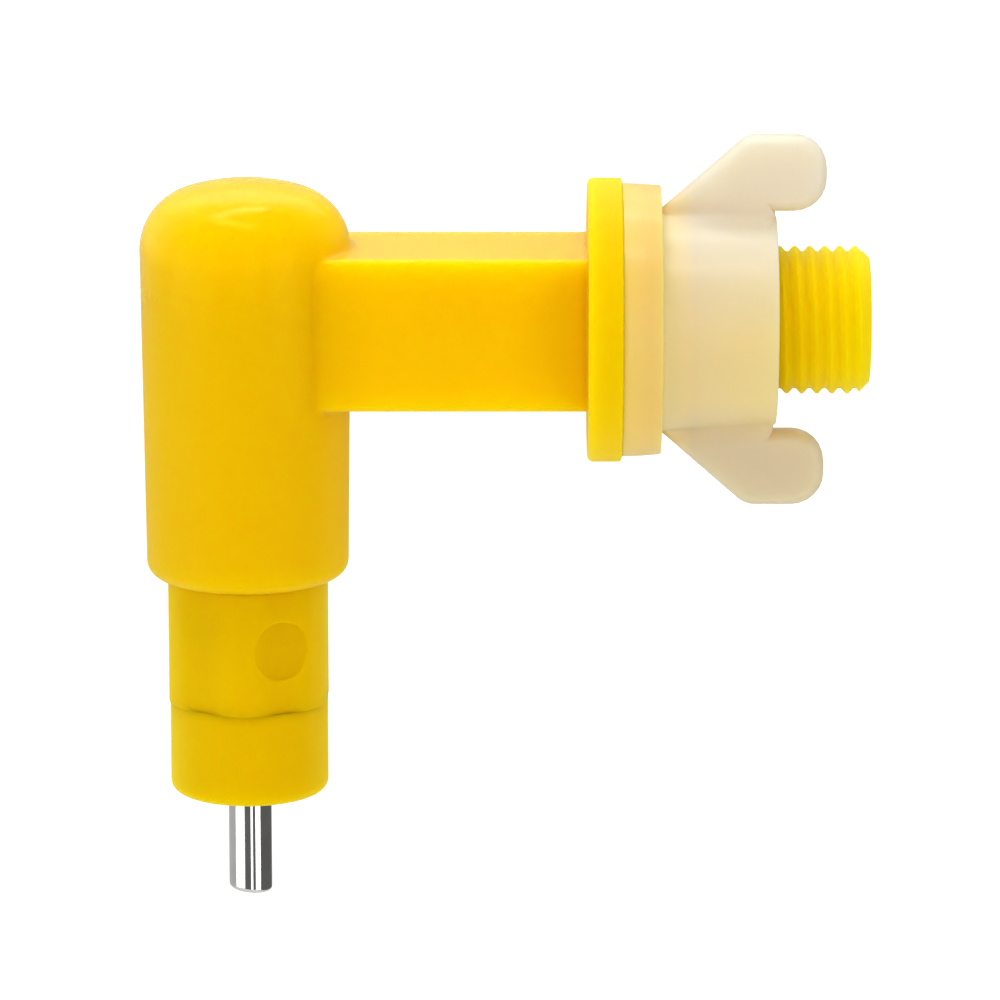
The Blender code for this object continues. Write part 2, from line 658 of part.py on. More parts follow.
def lower_cap(group, material):
    """The cap that closes the valve: a short plug, the pin's chamber and a flared hole."""
    floor = CAP_BOTTOM + CAP_FLOOR
    profile = [(CAP_CHAMBER_RADIUS, CAP_PLUG_TOP), (CAP_PLUG_RADIUS, CAP_PLUG_TOP), (CAP_PLUG_RADIUS, CAP_TOP)]
    profile += arc((CAP_RADIUS - SEAM_GAP, CAP_TOP - SEAM_GAP), SEAM_GAP, 90, 0, EASED_STEPS)
    profile += arc((CAP_RADIUS - CAP_BOTTOM_ROUND, CAP_BOTTOM + CAP_BOTTOM_ROUND), CAP_BOTTOM_ROUND, 0, -90)
    profile.append((CAP_HOLE_RADIUS + CAP_HOLE_FLARE, CAP_BOTTOM))
    profile.append((CAP_HOLE_RADIUS, CAP_BOTTOM + CAP_HOLE_FLARE))
    profile.append((CAP_HOLE_RADIUS, floor))
    profile.append((CAP_CHAMBER_RADIUS, floor))
    cap = turned(group, "lower_cap", profile, place=(BARREL_X, 0.0, 0.0), closed=True)
    finish(cap, material)
    return cap


def seat_ring(group, name, hole, outer, bottom, thickness, material):
    """A flat rubber seat with its edges eased."""
    profile = ring_profile(hole, outer, bottom, bottom + thickness, SEAM_GAP, EASED_STEPS)
    ring = turned(group, name, profile, SMALL_ROUND_STEPS, (BARREL_X, 0.0, 0.0), closed=True)
    finish(ring, material)
    return ring


def valve_ball(group, material):
    """The steel ball that closes the inlet from above its seat."""
    mesh = bpy.data.meshes.new("valve_ball")
    shape = bmesh.new()
    bmesh.ops.create_uvsphere(shape, u_segments=SMALL_ROUND_STEPS, v_segments=SMALL_ROUND_STEPS // 2,
                              radius=BALL_RADIUS)
    shape.to_mesh(mesh)
    shape.free()
    ball = link(group, "valve_ball", mesh, (BARREL_X, 0.0, BALL_Z))
    finish(ball, material)
    return ball


def trigger_pin(group, material):
    """The steel pin, with its origin at the middle of the round head that it tilts about."""
    tip = PIN_TIP_Z - PIN_PIVOT_Z
    bottom = PIN_BOTTOM - PIN_PIVOT_Z
    tip_round = PIN_TIP_RADIUS / 2
    neck_angle = math.degrees(math.asin(PIN_RADIUS / PIN_HEAD_RADIUS))
    end = PIN_END_ROUND
    profile = [(0.0, tip)]
    profile += arc((PIN_TIP_RADIUS - tip_round, tip - tip_round), tip_round, 90, 0)
    profile.append((PIN_TIP_RADIUS, PIN_HEAD_CROWN))
    profile += arc((0.0, 0.0), PIN_HEAD_RADIUS, 0, neck_angle - 90, 2 * CORNER_STEPS)
    profile += arc((PIN_RADIUS - end, bottom + end), end, 0, -90)
    profile.append((0.0, bottom))
    pin = turned(group, "trigger_pin", profile, SMALL_ROUND_STEPS, (BARREL_X, 0.0, PIN_PIVOT_Z))
    mesh = settled_mesh(pin)
    # The lower end was cut at a slant, lowest on the side towards the tank
    for vertex in mesh.vertices:
        if vertex.co.z < bottom + end + PIN_RADIUS / 2:
            vertex.co.z -= vertex.co.x * math.tan(PIN_END_SLANT)
    finish(pin, material)
    return pin


def main():
    clear_scene()
    group = new_collection("nipple_drinker")
    tools = new_collection("cutters")
    yellow = new_material("yellow_plastic", (0.86, 0.50, 0.0), 0.28)
    valve_yellow = new_material("valve_plastic", (0.80, 0.46, 0.0), 0.33)
    natural = new_material("natural_plastic", (0.86, 0.78, 0.62), 0.32, transmission=0.2)
    silicone = new_material("silicone", (0.88, 0.76, 0.50), 0.45, transmission=0.2)
    rubber = new_material("black_rubber", (0.03, 0.03, 0.03), 0.6)
    steel = new_material("stainless_steel", (0.62, 0.61, 0.60), 0.08, metallic=1.0)
    elbow_body(group, tools, yellow)
    sealing_washer(group, silicone)
    wing_nut(group, tools, natural)
    valve_body(group, tools, valve_yellow)
    o_ring(group, rubber)
    lower_cap(group, valve_yellow)
    seat_ring(group, "pin_seat_ring", PIN_SEAT_HOLE_RADIUS, CAP_CHAMBER_RADIUS - SEAT_GAP,
              PIN_SEAT_BOTTOM, PIN_SEAT_THICKNESS, rubber)
    seat_ring(group, "ball_seat_ring", BALL_SEAT_HOLE_RADIUS, CAP_SOCKET_RADIUS - SEAT_GAP,
              BALL_SEAT_BOTTOM, BALL_SEAT_THICKNESS, rubber)
    valve_ball(group, steel)
    trigger_pin(group, steel)
    for helper in tools.objects:
        as_cutter(helper)


main()
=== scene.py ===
"""Looks of the elbow nipple drinker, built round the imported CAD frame.

Each moulded piece is modelled again finely in the place of its CAD solid and rides on the same
body. Sizes are the real ones, in millimetres times MM, in the CAD's own frame: the origin is the
middle of the flange's sealing face, +X runs along the spigot and +Z is up.
"""
import math

import bmesh
import bpy
from mathutils import Matrix, Vector


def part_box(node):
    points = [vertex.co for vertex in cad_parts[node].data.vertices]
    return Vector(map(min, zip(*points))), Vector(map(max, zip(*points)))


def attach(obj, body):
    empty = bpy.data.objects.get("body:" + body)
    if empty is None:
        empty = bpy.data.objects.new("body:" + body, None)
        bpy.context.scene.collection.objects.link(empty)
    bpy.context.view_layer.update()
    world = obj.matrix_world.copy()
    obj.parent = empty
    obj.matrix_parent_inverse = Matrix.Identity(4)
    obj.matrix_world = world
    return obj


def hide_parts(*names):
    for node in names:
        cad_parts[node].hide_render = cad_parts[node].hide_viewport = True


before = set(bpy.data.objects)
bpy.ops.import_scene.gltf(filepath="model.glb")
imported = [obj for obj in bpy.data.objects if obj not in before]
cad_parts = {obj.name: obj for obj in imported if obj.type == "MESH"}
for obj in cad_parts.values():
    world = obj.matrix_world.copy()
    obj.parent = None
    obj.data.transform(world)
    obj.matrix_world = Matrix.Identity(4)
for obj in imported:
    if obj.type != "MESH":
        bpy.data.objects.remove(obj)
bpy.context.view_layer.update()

MM = 0.001

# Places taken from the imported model
BALL_LOW, BALL_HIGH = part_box("valve_ball")
BARREL_AXIS = (BALL_LOW + BALL_HIGH) / 2
BARREL_X = BARREL_AXIS.x
ELBOW_LOW, ELBOW_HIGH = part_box("elbow_body")
WASHER_LOW, WASHER_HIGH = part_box("sealing_washer")
NUT_LOW, NUT_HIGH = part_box("wing_nut")
VALVE_LOW, VALVE_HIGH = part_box("valve_body")
CAP_LOW, CAP_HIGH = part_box("lower_cap")
PIN_LOW, PIN_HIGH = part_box("trigger_pin")
RING_LOW, RING_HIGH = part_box("plug_o_ring")
SEAT_LOW, SEAT_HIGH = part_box("ball_seat_ring")

# Elbow
BARREL_TOP_RADIUS = BARREL_X - ELBOW_LOW.x
BARREL_DRAFT = 0.23 * MM
BARREL_CROWN = 0.4 * MM
BARREL_SHOULDER_ROUND = 3.9 * MM
BARREL_RIM_ROUND = 1.0 * MM
BARREL_TOP = 8.75 * MM
BARREL_BOTTOM = ELBOW_LOW.z
BORE_RADIUS = 4.6 * MM
BORE_TOP = 5.4 * MM
BORE_END_ROUND = 2.4 * MM
ARM_HEIGHT = 9.5 * MM
ARM_DEPTH = 9.6 * MM
ARM_DROP = 0.08 * MM
ARM_EDGE_ROUND = 0.5 * MM
ARM_ROOT_FILLET = 0.5 * MM
ARM_END_FILLET = 0.2 * MM
FLANGE_RADIUS = ELBOW_HIGH.y
FLANGE_THICKNESS = 2.12 * MM
FLANGE_FACE_ROUND = 0.22 * MM
FLANGE_BACK_ROUND = 0.35 * MM
SPIGOT_LENGTH = ELBOW_HIGH.x
CREST_RADIUS = 4.56 * MM
SPIGOT_CHAMFER = 0.7 * MM
PITCH = 0.93 * MM
THREAD_DEPTH = 0.32 * MM
THREAD_CREST_WIDTH = 0.17 * MM
THREAD_ROOT_WIDTH = 0.19 * MM
THREAD_EASE = 0.05 * MM
THREAD_CLEARANCE = 0.13 * MM
WATERWAY_RADIUS = 1.7 * MM

# Washer and wing nut
WASHER_BORE = CREST_RADIUS + 0.25 * MM
WASHER_TAPER = 0.14 * MM
WASHER_EDGE_ROUND = 0.06 * MM
WASHER_SQUEEZE = 0.1 * MM
WASHER_BULGE = 0.03 * MM
CONTACT = 0.003 * MM
NUT_BASE_RADIUS = NUT_HIGH.y
NUT_END_RADIUS = 6.48 * MM
NUT_LENGTH = 7.2 * MM
NUT_EDGE_ROUND = 0.1 * MM
WING_TIP_HEIGHT = NUT_HIGH.z
WING_THROAT_RISE = 0.45 * MM
WING_THICKNESS = 2.2 * MM
WING_SLOPE = math.radians(41.4)
WING_HEEL_ROUND = 1.6 * MM
WING_TIP_ROUND = 2.0 * MM
WING_THROAT_ROUND = 2.0 * MM
WING_EDGE_ROUND = 0.85 * MM
WING_ROOT_FILLET = 1.5 * MM

# Valve
SEAM_GAP = 0.1 * MM
SEAT_GAP = 0.15 * MM
FIT_GAP = 0.3 * MM
RING_GAP = 0.08 * MM
COLLAR_TOP = BARREL_BOTTOM - SEAM_GAP
COLLAR_BOTTOM = VALVE_LOW.z
COLLAR_CORNER_RADIUS = 5.13 * MM
COLLAR_ACROSS_FLATS = 9.8 * MM
COLLAR_FLAT_COUNT = 6
COLLAR_FLAT_TURN = math.radians(27.0)
COLLAR_EDGE_ROUND = 0.22 * MM
COLLAR_FOOT_ROUND = 0.04 * MM
COLLAR_SOFTENING = 5
PLUG_RADIUS = BORE_RADIUS - FIT_GAP
INLET_RADIUS = 1.5 * MM
INLET_FUNNEL = 0.9 * MM
CHAMBER_RADIUS = 2.6 * MM
PIN_LIFT = 1.0 * MM
RECESS_RADIUS = 1.87 * MM
RECESS_DEPTH = 0.12 * MM
RECESS_DROP = 3.8 * MM
CAP_BOTTOM_ROUND = 0.65 * MM
CAP_PLUG_RADIUS = 3.6 * MM
CAP_CHAMBER_RADIUS = 2.75 * MM
CAP_FLOOR = 1.9 * MM
CAP_HOLE_RADIUS = 1.95 * MM
CAP_HOLE_FLARE = 0.35 * MM

# Trigger pin
PIN_RADIUS = 1.35 * MM
PIN_HEAD_RADIUS = PIN_HIGH.x - BARREL_X
PIN_HEAD_CROWN = 0.8 * MM
PIN_TIP_RADIUS = 0.85 * MM
PIN_PIVOT_DROP = 3.15 * MM
PIN_END_ROUND = 0.3 * MM
PIN_END_SLANT = math.tan(math.radians(5.4))

# Camera, fitted to the photograph
CAMERA_TARGET = Vector((-7.504, 0.0, -11.456)) * MM
CAMERA_DISTANCE = 414.2 * MM
CAMERA_ELEVATION = math.radians(13.65)
CAMERA_LENS = 239.9

# Cuts reach this far past what they cut, and seams lie this deep in it
CUT_PAST = 1.0 * MM
SEAM_SINK = 0.004 * MM

# Fineness
STEP = 0.6 * MM
SEAM_STEP = 0.25 * MM
ARM_END_STEP = 0.5 * MM
WASHER_STEP = 0.3 * MM
PIN_STEP = 0.4 * MM
COLLAR_POINTS = 288
ROUND = 160
SMALL_ROUND = 96
THREAD_ROUND = 96
THREAD_OFFSET = 0.37
CORNER = 6


def arc(center, radius, start, end, steps=CORNER):
    """Points of an arc in a profile, from one angle to another, both in degrees."""
    points = []
    for step in range(steps + 1):
        angle = math.radians(start + (end - start) * step / steps)
        points.append((center[0] + radius * math.cos(angle), center[1] + radius * math.sin(angle)))
    return points


def split_long(profile, longest):
    """Cut the straight stretches of a profile so that no step is longer than this."""
    points = [profile[0]]
    for before, after in zip(profile, profile[1:]):
        run = math.dist(before, after)
        count = max(1, math.ceil(run / longest))
        for step in range(1, count + 1):
            share = step / count
            points.append((before[0] + (after[0] - before[0]) * share,
                           before[1] + (after[1] - before[1]) * share))
    return points


def round_corners(corners, steps=CORNER):
    """Turn ((a, b), radius) corners of a closed outline into points, each corner an arc."""
    points = []
    for index, (corner, radius) in enumerate(corners):
        here = Vector(corner)
        if radius == 0.0:
            points.append(tuple(here))
            continue
        before = (Vector(corners[index - 1][0]) - here).normalized()
        after = (Vector(corners[(index + 1) % len(corners)][0]) - here).normalized()
        half = before.angle(after) / 2
        center = here + (before + after).normalized() * (radius / math.sin(half))
        first = here + before * (radius / math.tan(half)) - center
        last = here + after * (radius / math.tan(half)) - center
        swing = first.angle_signed(last)
        for step in range(steps + 1):
            points.append(tuple(center + Matrix.Rotation(-swing * step / steps, 2) @ first))
    return points


def add_object(name, shape):
    """Put a bmesh into the scene as a smooth object, with its faces turned outwards."""
    bmesh.ops.recalc_face_normals(shape, faces=shape.faces)
    mesh = bpy.data.meshes.new(name)
    shape.to_mesh(mesh)
    shape.free()
    mesh.shade_smooth()
    made = bpy.data.objects.new(name, mesh)
    bpy.context.scene.collection.objects.link(made)
    return made


def turned(name, profile, axis_x=None, start_x=0.0, steps=ROUND, closed=False, longest=STEP):
    """A turned shape from (radius, height) points, about the upright line at axis_x.

    Without axis_x it is turned about the spigot's line, and height is measured along +X from start_x."""
    if closed:
        profile = profile + [profile[0]]
    profile = split_long(profile, longest)
    if closed:
        profile = profile[:-1]
    shape = bmesh.new()
    rows = []
    for radius, height in profile:
        row = []
        for step in range(steps if radius > 0.0 else 1):
            angle = 2 * math.pi * step / steps
            side = (radius * math.cos(angle), radius * math.sin(angle))
            if axis_x is None:
                row.append(shape.verts.new((start_x + height, side[0], side[1])))
            else:
                row.append(shape.verts.new((axis_x + side[0], side[1], height)))
        rows.append(row)
    pairs = list(zip(rows, rows[1:]))
    if closed:
        pairs.append((rows[-1], rows[0]))
    for upper, lower in pairs:
        for step in range(steps):
            after = (step + 1) % steps
            if len(upper) == 1:
                shape.faces.new((upper[0], lower[step], lower[after]))
            elif len(lower) == 1:
                shape.faces.new((upper[step], lower[0], upper[after]))
            else:
                shape.faces.new((upper[step], lower[step], lower[after], upper[after]))
    return add_object(name, shape)


def extruded(name, outline, place, near_round, far_round, edge_steps=4):
    """An outline drawn out evenly to both sides, the rim of each end bevelled.

    place turns an outline point and a side, -1 or 1, into a point of the frame."""
    shape = bmesh.new()
    face = shape.faces.new([shape.verts.new(place(*point, -1)) for point in outline])
    other = [shape.verts.new(place(*point, 1)) for point in outline]
    shape.faces.new(list(reversed(other)))
    near = list(face.verts)
    for index in range(len(near)):
        after = (index + 1) % len(near)
        shape.faces.new((near[after], near[index], other[index], other[after]))
    bmesh.ops.recalc_face_normals(shape, faces=shape.faces)
    far = set(other)
    for edge_round, at_far in ((near_round, False), (far_round, True)):
        rims = [edge for edge in shape.edges if all((vertex in far) == at_far for vertex in edge.verts)
                and any(len(face.verts) > 4 for face in edge.link_faces)]
        bmesh.ops.bevel(shape, geom=rims, offset=edge_round, offset_type='OFFSET', segments=edge_steps,
                        profile=0.5, affect='EDGES', clamp_overlap=True)
        far = {vertex for vertex in far if vertex.is_valid}
    return add_object(name, shape)


def applied(made):
    """Put the evaluated mesh in place of an object's modifiers."""
    bpy.context.view_layer.update()
    graph = bpy.context.evaluated_depsgraph_get()
    mesh = bpy.data.meshes.new_from_object(made.evaluated_get(graph))
    made.modifiers.clear()
    made.data = mesh
    return made


def boolean(made, others, operation):
    """Join or cut with each of the others, which are then removed."""
    for other in others:
        step = made.modifiers.new(other.name, 'BOOLEAN')
        step.operation = operation
        step.solver = 'MANIFOLD'
        step.object = other
        applied(made)
        bpy.data.objects.remove(other, do_unlink=True)
    return made


def smoothed(made, sharp=38.0):
    """Smooth shading that keeps true edges crisp and flat faces flat."""
    made.data.shade_smooth()
    made.data.set_sharp_from_angle(angle=math.radians(sharp))
    even = made.modifiers.new("even_normals", 'WEIGHTED_NORMAL')
    even.mode = 'FACE_AREA'
    even.keep_sharp = True
    return made


def barrel_radius_at(height):
    """The barrel's radius below its shoulder, which shrinks a little downwards."""
    shoulder = BARREL_TOP - BARREL_CROWN - BARREL_SHOULDER_ROUND
    return BARREL_TOP_RADIUS - BARREL_DRAFT * (shoulder - height) / (shoulder - BARREL_BOTTOM)


def barrel_reach(height, out):
    """Where a point lies that is this far outside the barrel's side or its round shoulder.

    Gives its distance from the barrel's line, and the sideways and upward parts of the way out."""
    shoulder = BARREL_TOP - BARREL_CROWN - BARREL_SHOULDER_ROUND
    if height <= shoulder:
        return barrel_radius_at(height) + out, 1.0, 0.0
    swell = BARREL_SHOULDER_ROUND + out
    upward = (height - shoulder) / swell
    sideways = math.sqrt(1.0 - upward ** 2)
    return BARREL_TOP_RADIUS - BARREL_SHOULDER_ROUND + swell * sideways, sideways, upward


def barrel():
    """Crowned top, round shoulder, slight draft and a rounded rim."""
    rounding = BARREL_SHOULDER_ROUND
    flat = BARREL_TOP_RADIUS - rounding
    shoulder = BARREL_TOP - BARREL_CROWN - rounding
    rise = BARREL_CROWN + rounding
    crown_radius = (flat ** 2 + rise ** 2 - rounding ** 2) / (2 * (rise - rounding))
    lean = math.degrees(math.asin(flat / (crown_radius - rounding)))
    profile = [(0.0, BARREL_TOP)]
    profile += arc((0.0, BARREL_TOP - crown_radius), crown_radius, 90, 90 - lean)[1:-1]
    profile += arc((flat, shoulder), rounding, 90 - lean, 0, 3 * CORNER)
    rim = BARREL_RIM_ROUND
    bottom_radius = BARREL_TOP_RADIUS - BARREL_DRAFT
    profile += arc((bottom_radius - rim, BARREL_BOTTOM + rim), rim, 0, -90)
    profile.append((0.0, BARREL_BOTTOM))
    return turned("elbow", profile, axis_x=BARREL_X)


def arm_outline(grow, corner_steps, side_step):
    """Points of the arm's rounded outline in Y and Z, grown outwards, each with its normal."""
    pairs = []
    half_depth = ARM_DEPTH / 2 - ARM_EDGE_ROUND
    top = ARM_HEIGHT / 2 - ARM_EDGE_ROUND - ARM_DROP
    bottom = ARM_EDGE_ROUND - ARM_HEIGHT / 2 - ARM_DROP
    corners = [(half_depth, top), (-half_depth, top), (-half_depth, bottom), (half_depth, bottom)]
    for index, corner in enumerate(corners):
        center = Vector((0.0, *corner))
        for step in range(corner_steps + 1):
            angle = math.radians(90 * index + 90 * step / corner_steps)
            normal = Vector((0.0, math.cos(angle), math.sin(angle)))
            pairs.append((center + normal * (ARM_EDGE_ROUND + grow), normal))
        here, normal = pairs[-1]
        following = Vector((0.0, *corners[(index + 1) % 4])) + normal * (ARM_EDGE_ROUND + grow)
        count = math.ceil((following - here).length / side_step)
        for step in range(1, count):
            pairs.append((here.lerp(following, step / count), normal))
    return pairs


def looped(name, sections, closed=True):
    """A solid strip through equal rings of points, closed on itself or capped at both ends."""
    shape = bmesh.new()
    rings = [[shape.verts.new(point) for point in section] for section in sections]
    pairs = list(zip(rings, rings[1:]))
    if closed:
        pairs.append((rings[-1], rings[0]))
    for here, after in pairs:
        for side in range(len(here)):
            ahead = (side + 1) % len(here)
            shape.faces.new((here[side], here[ahead], after[ahead], after[side]))
    if not closed:
        shape.faces.new(rings[0])
        shape.faces.new(rings[-1])
    return add_object(name, shape)


def fillet_section(center, on_first, on_second, ball, depth, steps=2 * CORNER):
    """One section of a fillet: the hollow arc between two surfaces, closed by points inside them.

    center is the rolling ball's, and the two directions point from it to the surfaces."""
    swing = on_first.angle(on_second)
    section = []
    for step in range(steps + 1):
        share = step / steps
        direction = on_first * math.sin((1 - share) * swing) + on_second * math.sin(share * swing)
        section.append(center + direction * (ball / math.sin(swing)))
    section.append(section[steps] + on_second * depth)
    section.append(section[0] + on_first * depth + on_second * (ball + depth))
    section.append(section[0] + on_first * depth)
    return section


def arm_barrel_fillet(ball, sink=SEAM_SINK, depth=0.3 * MM):
    """The soft seam where the arm runs out of the barrel."""
    sections = []
    for point, normal in arm_outline(ball - sink, CORNER, SEAM_STEP):
        reach, sideways, upward = barrel_reach(point.z, ball - sink)
        center = Vector((BARREL_X + math.sqrt(reach ** 2 - point.y ** 2), point.y, point.z))
        level = Vector((center.x - BARREL_X, center.y, 0.0)).normalized()
        outward = level * sideways + Vector((0.0, 0.0, upward))
        sections.append(fillet_section(center, -normal, -outward, ball, depth))
    return looped("arm_barrel_fillet", sections)


def arm_flange_fillet(ball, sink=SEAM_SINK, depth=0.2 * MM):
    """The small seam where the arm meets the flange."""
    sections = []
    for point, normal in arm_outline(ball - sink, CORNER, ARM_END_STEP):
        center = Vector((-FLANGE_THICKNESS - ball + sink, point.y, point.z))
        sections.append(fillet_section(center, -normal, Vector((1.0, 0.0, 0.0)), ball, depth))
    return looped("arm_flange_fillet", sections)


def arm():
    """The square arm, drawn through its rounded outline so that its long faces stay flat."""
    sections = []
    outline = arm_outline(0.0, CORNER, STEP)
    start = BARREL_X
    end = -FLANGE_THICKNESS / 2
    count = math.ceil((end - start) / STEP)
    for step in range(count + 1):
        across = Vector((start + (end - start) * step / count, 0.0, 0.0))
        sections.append([point + across for point, normal in outline])
    return looped("arm", sections, closed=False)


def flange():
    """The flange's disc, its edges eased on both sides."""
    face = FLANGE_FACE_ROUND
    back = FLANGE_BACK_ROUND
    profile = [(0.0, 0.0)]
    profile += arc((FLANGE_RADIUS - face, -face), face, 90, 0)
    profile += arc((FLANGE_RADIUS - back, back - FLANGE_THICKNESS), back, 0, -90)
    profile.append((0.0, -FLANGE_THICKNESS))
    return turned("flange", profile)


def thread_form(root, crest, grow_side=0.0):
    """One turn of the thread in (radius, height): a V with its crest and its root eased."""
    crest_half = THREAD_CREST_WIDTH / 2 + grow_side
    root_half = THREAD_ROOT_WIDTH / 2 - grow_side
    half = PITCH / 2
    corners = [(root, -half), (root, root_half - half), (crest, -crest_half), (crest, crest_half),
               (root, half - root_half), (root, half)]
    points = [corners[0]]
    for before, here, after in zip(corners, corners[1:], corners[2:]):
        here = Vector(here)
        back = (Vector(before) - here).normalized()
        ahead = (Vector(after) - here).normalized()
        points.append(tuple(here + back * THREAD_EASE))
        points.append(tuple(here + (back + ahead) * THREAD_EASE / 4))
        points.append(tuple(here + ahead * THREAD_EASE))
    points.append(corners[-1])
    return points


def threaded_rod(name, root, crest, start, end, grow_side=0.0):
    """A rod with the right-hand thread wound on it, closed at both ends by a shallow ramp.

    The spigot and the cutter of the nut's thread both start their turns at the frame's origin."""
    form = thread_form(root, crest, grow_side)
    per_turn = len(form) - 1
    first = math.floor(start / PITCH) - 1
    last = math.ceil(end / PITCH) + 1
    line = [form[0]]
    for turn in range(first, last):
        line += [(radius, height + turn * PITCH) for radius, height in form[1:]]
    line[0] = (line[0][0], line[0][1] + first * PITCH)
    shape = bmesh.new()
    columns = []
    for step in range(THREAD_ROUND):
        share = (step + THREAD_OFFSET) / THREAD_ROUND
        angle = 2 * math.pi * share
        lead = PITCH * share
        across = math.sin(angle)
        upward = -math.cos(angle)
        columns.append([shape.verts.new((height + lead, radius * across, radius * upward))
                        for radius, height in line])
    for step in range(THREAD_ROUND):
        here = columns[step]
        after = columns[step + 1] if step + 1 < THREAD_ROUND else columns[0][per_turn:]
        for index in range(min(len(here), len(after)) - 1):
            shape.faces.new((here[index], here[index + 1], after[index + 1], after[index]))
    near_rim = [column[0] for column in columns] + list(reversed(columns[0][:per_turn + 1]))
    far_rim = [column[-1] for column in columns[1:]] + list(reversed(columns[-1][-1 - per_turn:-1]))
    far_rim = [columns[0][-1]] + far_rim
    for rim in (near_rim, far_rim):
        middle = sum(vertex.co.x for vertex in rim) / len(rim)
        apex = shape.verts.new((middle, 0.0, 0.0))
        for here, after in zip(rim, rim[1:] + rim[:1]):
            if here is not after:
                shape.faces.new((here, after, apex))
    return add_object(name, shape)


def spigot():
    """The threaded spigot, trimmed to its length and chamfered at the end."""
    rod = threaded_rod("spigot", CREST_RADIUS - THREAD_DEPTH, CREST_RADIUS, 0.0, SPIGOT_LENGTH)
    outside = CREST_RADIUS + THREAD_DEPTH
    chamfer = SPIGOT_CHAMFER
    inside = -FLANGE_THICKNESS / 3
    profile = [(0.0, SPIGOT_LENGTH), (CREST_RADIUS - chamfer, SPIGOT_LENGTH),
               (outside, SPIGOT_LENGTH - chamfer - THREAD_DEPTH), (outside, inside), (0.0, inside)]
    envelope = turned("envelope", profile, longest=5 * MM)
    return boolean(rod, [envelope], 'INTERSECT')


def elbow():
    """Barrel, arm, flange and spigot in one moulding with soft seams, bored for valve and water."""
    made = barrel()
    boolean(made, [arm(), arm_barrel_fillet(ARM_ROOT_FILLET), flange(), arm_flange_fillet(ARM_END_FILLET),
                   spigot()], 'UNION')
    round_end = BORE_END_ROUND
    bore = [(0.0, BORE_TOP)]
    bore += arc((BORE_RADIUS - round_end, BORE_TOP - round_end), round_end, 90, 0)
    bore += [(BORE_RADIUS, BARREL_BOTTOM - CUT_PAST), (0.0, BARREL_BOTTOM - CUT_PAST)]
    waterway = [(0.0, SPIGOT_LENGTH + CUT_PAST), (WATERWAY_RADIUS, SPIGOT_LENGTH + CUT_PAST),
                (WATERWAY_RADIUS, BARREL_X), (0.0, BARREL_X)]
    boolean(made, [turned("bore", bore, axis_x=BARREL_X, steps=SMALL_ROUND),
                   turned("waterway", waterway, steps=SMALL_ROUND)], 'DIFFERENCE')
    return smoothed(made)


def washer():
    """The soft washer, pressed against the flange and the nut, so that its rim swells a little."""
    start = -CONTACT
    end = NUT_LOW.x + WASHER_SQUEEZE
    outer = WASHER_HIGH.y
    narrow = outer - WASHER_TAPER
    ease = WASHER_EDGE_ROUND
    profile = [(WASHER_BORE, end)]
    profile += arc((narrow - ease, end - ease), ease, 90, 0)
    profile.append(((outer + narrow) / 2 + WASHER_BULGE, (start + end) / 2))
    profile += arc((outer - ease, start + ease), ease, 0, -90)
    profile.append((WASHER_BORE, start))
    return smoothed(turned("silicone_washer", profile, closed=True, longest=WASHER_STEP))


def wing_outline():
    """One wing in (along the spigot, away from the axis)."""
    end = NUT_HIGH.x - NUT_LOW.x
    inner_end = NUT_LENGTH - NUT_EDGE_ROUND
    root = (CREST_RADIUS + THREAD_CLEARANCE + NUT_END_RADIUS) / 2
    throat = NUT_END_RADIUS + WING_THROAT_RISE
    slope_run = (WING_TIP_HEIGHT - NUT_BASE_RADIUS) / math.tan(WING_SLOPE)
    return round_corners([
        ((0.0, root), 0.0), ((inner_end, root), 0.0), ((inner_end, throat), 0.0),
        ((end, throat), WING_THROAT_ROUND), ((end, WING_TIP_HEIGHT), WING_TIP_ROUND),
        ((slope_run, WING_TIP_HEIGHT), WING_HEEL_ROUND), ((0.0, NUT_BASE_RADIUS), 0.0)])


def wing(name, side):
    """One wing, above the spigot's line for side 1 and below it for -1."""
    half = WING_THICKNESS / 2
    return extruded(name, wing_outline(),
                    lambda along, away, face: (NUT_LOW.x + along, face * half, side * away),
                    WING_EDGE_ROUND, WING_EDGE_ROUND)


def nut_radius_at(along):
    """The nut's outer radius at this distance from its base."""
    return NUT_BASE_RADIUS + (NUT_END_RADIUS - NUT_BASE_RADIUS) * along / NUT_LENGTH


def wing_fillet(name, side_y, side_z, sink=SEAM_SINK, depth=0.25 * MM, count=40):
    """The soft seam along one side of a wing's root, fading out towards both of its ends."""
    start = 0.45 * MM
    end = NUT_LENGTH - NUT_EDGE_ROUND - 0.02 * MM
    half = WING_THICKNESS / 2
    opening = 2.2
    first = 0.03
    closing = 8
    last = 0.15
    sections = []
    for step in range(count + 1):
        along = start + (end - start) * step / count
        fade = min(1.0, opening * step / count + first, closing * (count - step) / count + last)
        ball = WING_ROOT_FILLET * math.sin(fade * math.pi / 2)
        out = half + ball - sink
        reach = nut_radius_at(along) + ball - sink
        center = Vector((NUT_LOW.x + along, side_y * out, side_z * math.sqrt(reach ** 2 - out ** 2)))
        on_wing = Vector((0.0, -side_y, 0.0))
        on_body = -Vector((0.0, center.y, center.z)).normalized()
        sections.append(fillet_section(center, on_wing, on_body, ball, depth, CORNER))
    return looped(name, sections, closed=False)


